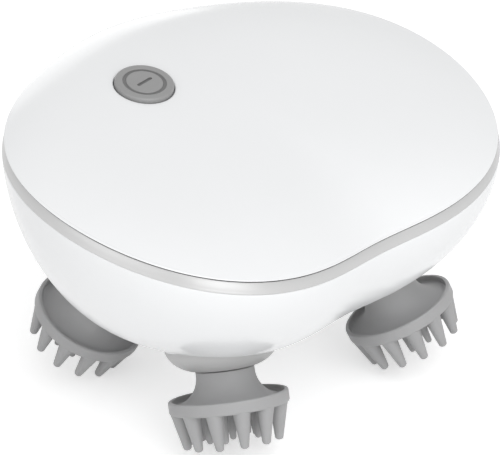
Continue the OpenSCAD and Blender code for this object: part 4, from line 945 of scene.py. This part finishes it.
def claw_profile():
    """Half section of a claw: finger disc, dish, flare and neck, with the hub's bore."""
    rim = DISC_R - RIM_W
    flare_x, flare_z = NECK_R + FLARE_R, FLARE_R - DISH_D
    sweep = math.degrees(math.acos((flare_x - rim + 0.4) / FLARE_R))
    flare = arc(flare_x, flare_z, FLARE_R, 180, 180 + sweep, 26)
    lip = curve([(rim + out, z) for out, z in DISH_WALL] + [flare[-1]], 4)
    out = [(0, -DISC_T), (DISC_R - 0.6, -DISC_T)]
    out += arc(DISC_R - DISC_EDGE, DISC_EDGE - DISC_T, DISC_EDGE, -90, 0, 5)
    out += arc(DISC_R - DISC_EDGE, -DISC_EDGE, DISC_EDGE, 0, 90, 6)
    out += lip
    out += flare[::-1][1:]
    out += [(NECK_R, NECK_L - 0.25)]
    out += arc(NECK_R - NECK_EDGE, NECK_L - NECK_EDGE, NECK_EDGE, 0, 90, 4)
    out += [(SPINDLE_R + HUB_GAP, NECK_L), (SPINDLE_R + HUB_GAP, HUB_TOP), (HUB_R, HUB_TOP),
            (HUB_R, HUB_LOW + HUB_FLANGE_T), (HUB_FLANGE_R, HUB_LOW + HUB_FLANGE_T),
            (HUB_FLANGE_R, HUB_LOW), (0, HUB_LOW)]
    return out


def finger(length, root, tip, steps):
    """One tapered finger, pointing down from z = 0, with a flared root and a blunt tip."""
    side = [(root + out, z) for out, z in ROOT_FLARE]
    slope = (root - tip) / (length - 0.65)
    for k in range(1, 6):
        down = (length - 1.2) * k / 5
        side.append((root - slope * down * 0.94, -0.5 - down))
    end_r, end_z = side[-1]
    dome = [(end_r * math.cos(a), end_z - (length + end_z) * math.sin(a)) for a in TIP_RINGS]
    return lathe([(0, ROOT_FLARE[0][1])] + side + dome + [(0, -length)], steps)


def claw_fingers():
    """Outer fingers, leaning outward, with the inner ring and the middle one."""
    parts = []
    down = Matrix.Translation((0, 0, -DISC_T))
    outer = finger(FINGER_L, FINGER_R, FINGER_TIP, 28)
    inner = finger(INNER_L, INNER_R, INNER_TIP, 22)
    for k in range(FINGER_N):
        m = (Matrix.Rotation(math.pi + turn(k, FINGER_N), 4, "Z") @ down
             @ Matrix.Translation((FINGER_RING, 0, 0))
             @ Matrix.Rotation(math.radians(FINGER_LEAN), 4, "Y"))
        parts.append((*outer, m))
    for k in range(INNER_N):
        m = (Matrix.Rotation(math.radians(INNER_TURN) + turn(k, INNER_N), 4, "Z") @ down
             @ Matrix.Translation((INNER_RING, 0, 0)))
        parts.append((*inner, m))
    parts.append((*inner, down))
    return parts


def make_claws():
    """The four silicone claws, from one mesh that is placed on each head."""
    steps = int(144 * FINE)
    pattern = make_object("pattern", *lathe(claw_profile(), steps), place=Matrix())
    carve(pattern, claw_fingers(), "UNION", Matrix())
    clean(pattern)
    shade(pattern, 34)
    for head, m in HEADS.items():
        mesh = pattern.data.copy()
        mesh.transform(Matrix.Scale(1 / MM, 4))
        mesh.transform(Matrix.Scale(MM, 4) @ m)
        mesh.name = f"claw_{head}_skin"
        claw = bpy.data.objects.new(mesh.name, mesh)
        bpy.context.scene.collection.objects.link(claw)
        settle(claw, f"head_{head}", "claw_silicone", f"claw_{head}")
    old = pattern.data
    bpy.data.objects.remove(pattern)
    bpy.data.meshes.remove(old)


def collar_profile():
    """Half section of a collar: rounded cone, spigot and the seal's seat."""
    out = [(SPINDLE_R + RUN_GAP, COLLAR_D)]
    for k in range(17):
        a = math.radians(90 * k / 16)
        out.append((COLLAR_R1 + (COLLAR_R - COLLAR_R1) * math.sin(a) ** (2 / COLLAR_N),
                    SEAT_D - COLLAR_H * math.cos(a) ** (2 / COLLAR_N)))
    seal_d = SEAT_D + SPIGOT_H - SEAL_T
    out += [(SPIGOT_R, SEAT_D), (SPIGOT_R, SEAT_D + SPIGOT_H), (SEAL_R + FIT, SEAT_D + SPIGOT_H),
            (SEAL_R + FIT, seal_d), (SPINDLE_R + RUN_GAP, seal_d)]
    return out


def make_collars():
    """The four collars, one at each head, fixed to the housing."""
    for head, m in HEADS.items():
        collar = make_object(f"collar_{head}_skin", *lathe(collar_profile(), int(128 * FINE)),
                             place=m)
        settle(collar, "housing", "collar_grey", f"collar_{head}")


# ---------------------------------------------------------------- CAD nodes that stay
def dress_nodes():
    """Every CAD node that is still shown gets the finish of its own slot."""
    for part in frame["record"]["subparts"]:
        node = frame["nodes"][part["node"]]
        if node.data.materials:
            for i in range(len(node.data.materials)):
                node.data.materials[i] = MATERIALS[part["material_slot"]]
        else:
            node.data.materials.append(MATERIALS[part["material_slot"]])


# ---------------------------------------------------------------- light, floor and camera
LOOK_AT = Vector((0.49, -1.36, STAND + 18.31)) * MM
CAMERA_AZ, CAMERA_EL, CAMERA_D = -43.25, 29.98, 0.5
FOCAL_PX, FRAME_PX, SENSOR = 2133.9, 500, 36.0
WORLD_LIGHT, FLOOR_GREY, FLOOR_GLOW, FLOOR_HALF = 0.53, 0.86, 0.47, 3.0
LAMP_AIM = Vector((0, 0, 0.04))
# Name, place, diameter and power of each lamp
LAMPS = (
    ("key", (-0.1, -0.47, 0.7), 0.8, 2.7),
    ("fill_front", (-0.3, -0.7, 0.12), 0.5, 1.2),
    ("fill_left", (-0.75, -0.05, 0.3), 0.7, 0.9),
    ("fill_back", (0.3, 0.7, 0.15), 0.5, 0.6),
)


def make_camera():
    """Camera at the photograph's viewing angle and framing."""
    data = bpy.data.cameras.new("camera")
    data.sensor_width = SENSOR
    data.sensor_fit = "HORIZONTAL"
    data.lens = SENSOR * FOCAL_PX / FRAME_PX
    data.clip_start = 0.01
    camera = bpy.data.objects.new("camera", data)
    bpy.context.scene.collection.objects.link(camera)
    az, el = math.radians(CAMERA_AZ), math.radians(CAMERA_EL)
    away = Vector((math.sin(az) * math.cos(el), -math.cos(az) * math.cos(el), math.sin(el)))
    camera.location = LOOK_AT + away * CAMERA_D
    camera.rotation_euler = (-away).to_track_quat("-Z", "Y").to_euler()
    bpy.context.scene.camera = camera


def make_lamp(name, spot, size, power):
    """Soft round lamp at a spot, aimed at the middle of the object."""
    data = bpy.data.lights.new(name, "AREA")
    data.shape = "DISK"
    data.size = size
    data.energy = power
    lamp = bpy.data.objects.new(name, data)
    bpy.context.scene.collection.objects.link(lamp)
    lamp.location = spot
    lamp.rotation_euler = (LAMP_AIM - lamp.location).to_track_quat("-Z", "Y").to_euler()


def background_rays(tree):
    """1 for rays that see the background, straight, in a gloss or through glass, and else 0."""
    path = tree.nodes.new("ShaderNodeLightPath")
    seen = path.outputs["Is Camera Ray"]
    for kind in ("Is Glossy Ray", "Is Transmission Ray"):
        either = tree.nodes.new("ShaderNodeMath")
        either.operation = "MAXIMUM"
        tree.links.new(seen, either.inputs[0])
        tree.links.new(path.outputs[kind], either.inputs[1])
        seen = either.outputs[0]
    return seen


def make_world():
    """Even studio light, with a white background for the rays that see it."""
    world = bpy.data.worlds.new("studio")
    world.use_nodes = True
    tree = world.node_tree
    tree.nodes.clear()
    out = tree.nodes.new("ShaderNodeOutputWorld")
    mix = tree.nodes.new("ShaderNodeMixShader")
    light = tree.nodes.new("ShaderNodeBackground")
    shown = tree.nodes.new("ShaderNodeBackground")
    light.inputs["Color"].default_value = (1, 1, 1, 1)
    light.inputs["Strength"].default_value = WORLD_LIGHT
    shown.inputs["Color"].default_value = (1, 1, 1, 1)
    shown.inputs["Strength"].default_value = 1.0
    tree.links.new(background_rays(tree), mix.inputs["Fac"])
    tree.links.new(light.outputs[0], mix.inputs[1])
    tree.links.new(shown.outputs[0], mix.inputs[2])
    tree.links.new(mix.outputs[0], out.inputs[0])
    bpy.context.scene.world = world


def make_floor():
    """Pale floor: white where the camera sees it lit, with the object's soft shadow."""
    w = FLOOR_HALF
    mesh = bpy.data.meshes.new("floor")
    mesh.from_pydata([(-w, -w, 0), (w, -w, 0), (w, w, 0), (-w, w, 0)], [], [(0, 1, 2, 3)])
    floor = bpy.data.objects.new("floor", mesh)
    bpy.context.scene.collection.objects.link(floor)
    n = Nodes("floor_white")
    n.shader.inputs["Base Color"].default_value = (FLOOR_GREY, FLOOR_GREY, FLOOR_GREY, 1)
    n.shader.inputs["Roughness"].default_value = 0.9
    n.shader.inputs["Specular IOR Level"].default_value = 0.1
    glow = n.add("ShaderNodeEmission")
    n.tree.links.new(background_rays(n.tree), glow.inputs["Strength"])
    glow.inputs["Color"].default_value = (FLOOR_GLOW, FLOOR_GLOW, FLOOR_GLOW, 1)
    both = n.add("ShaderNodeAddShader")
    n.tree.links.new(n.shader.outputs[0], both.inputs[0])
    n.tree.links.new(glow.outputs[0], both.inputs[1])
    n.tree.links.new(both.outputs[0], n.out.inputs["Surface"])
    mesh.materials.append(n.material)


make_cover()
make_cover_posts()
make_trim()
make_gasket()
make_shell()
make_button()
make_claws()
make_collars()
dress_nodes()
make_floor()
make_world()
for lamp in LAMPS:
    make_lamp(*lamp)
make_camera()
bpy.context.scene.view_settings.view_transform = "Standard"
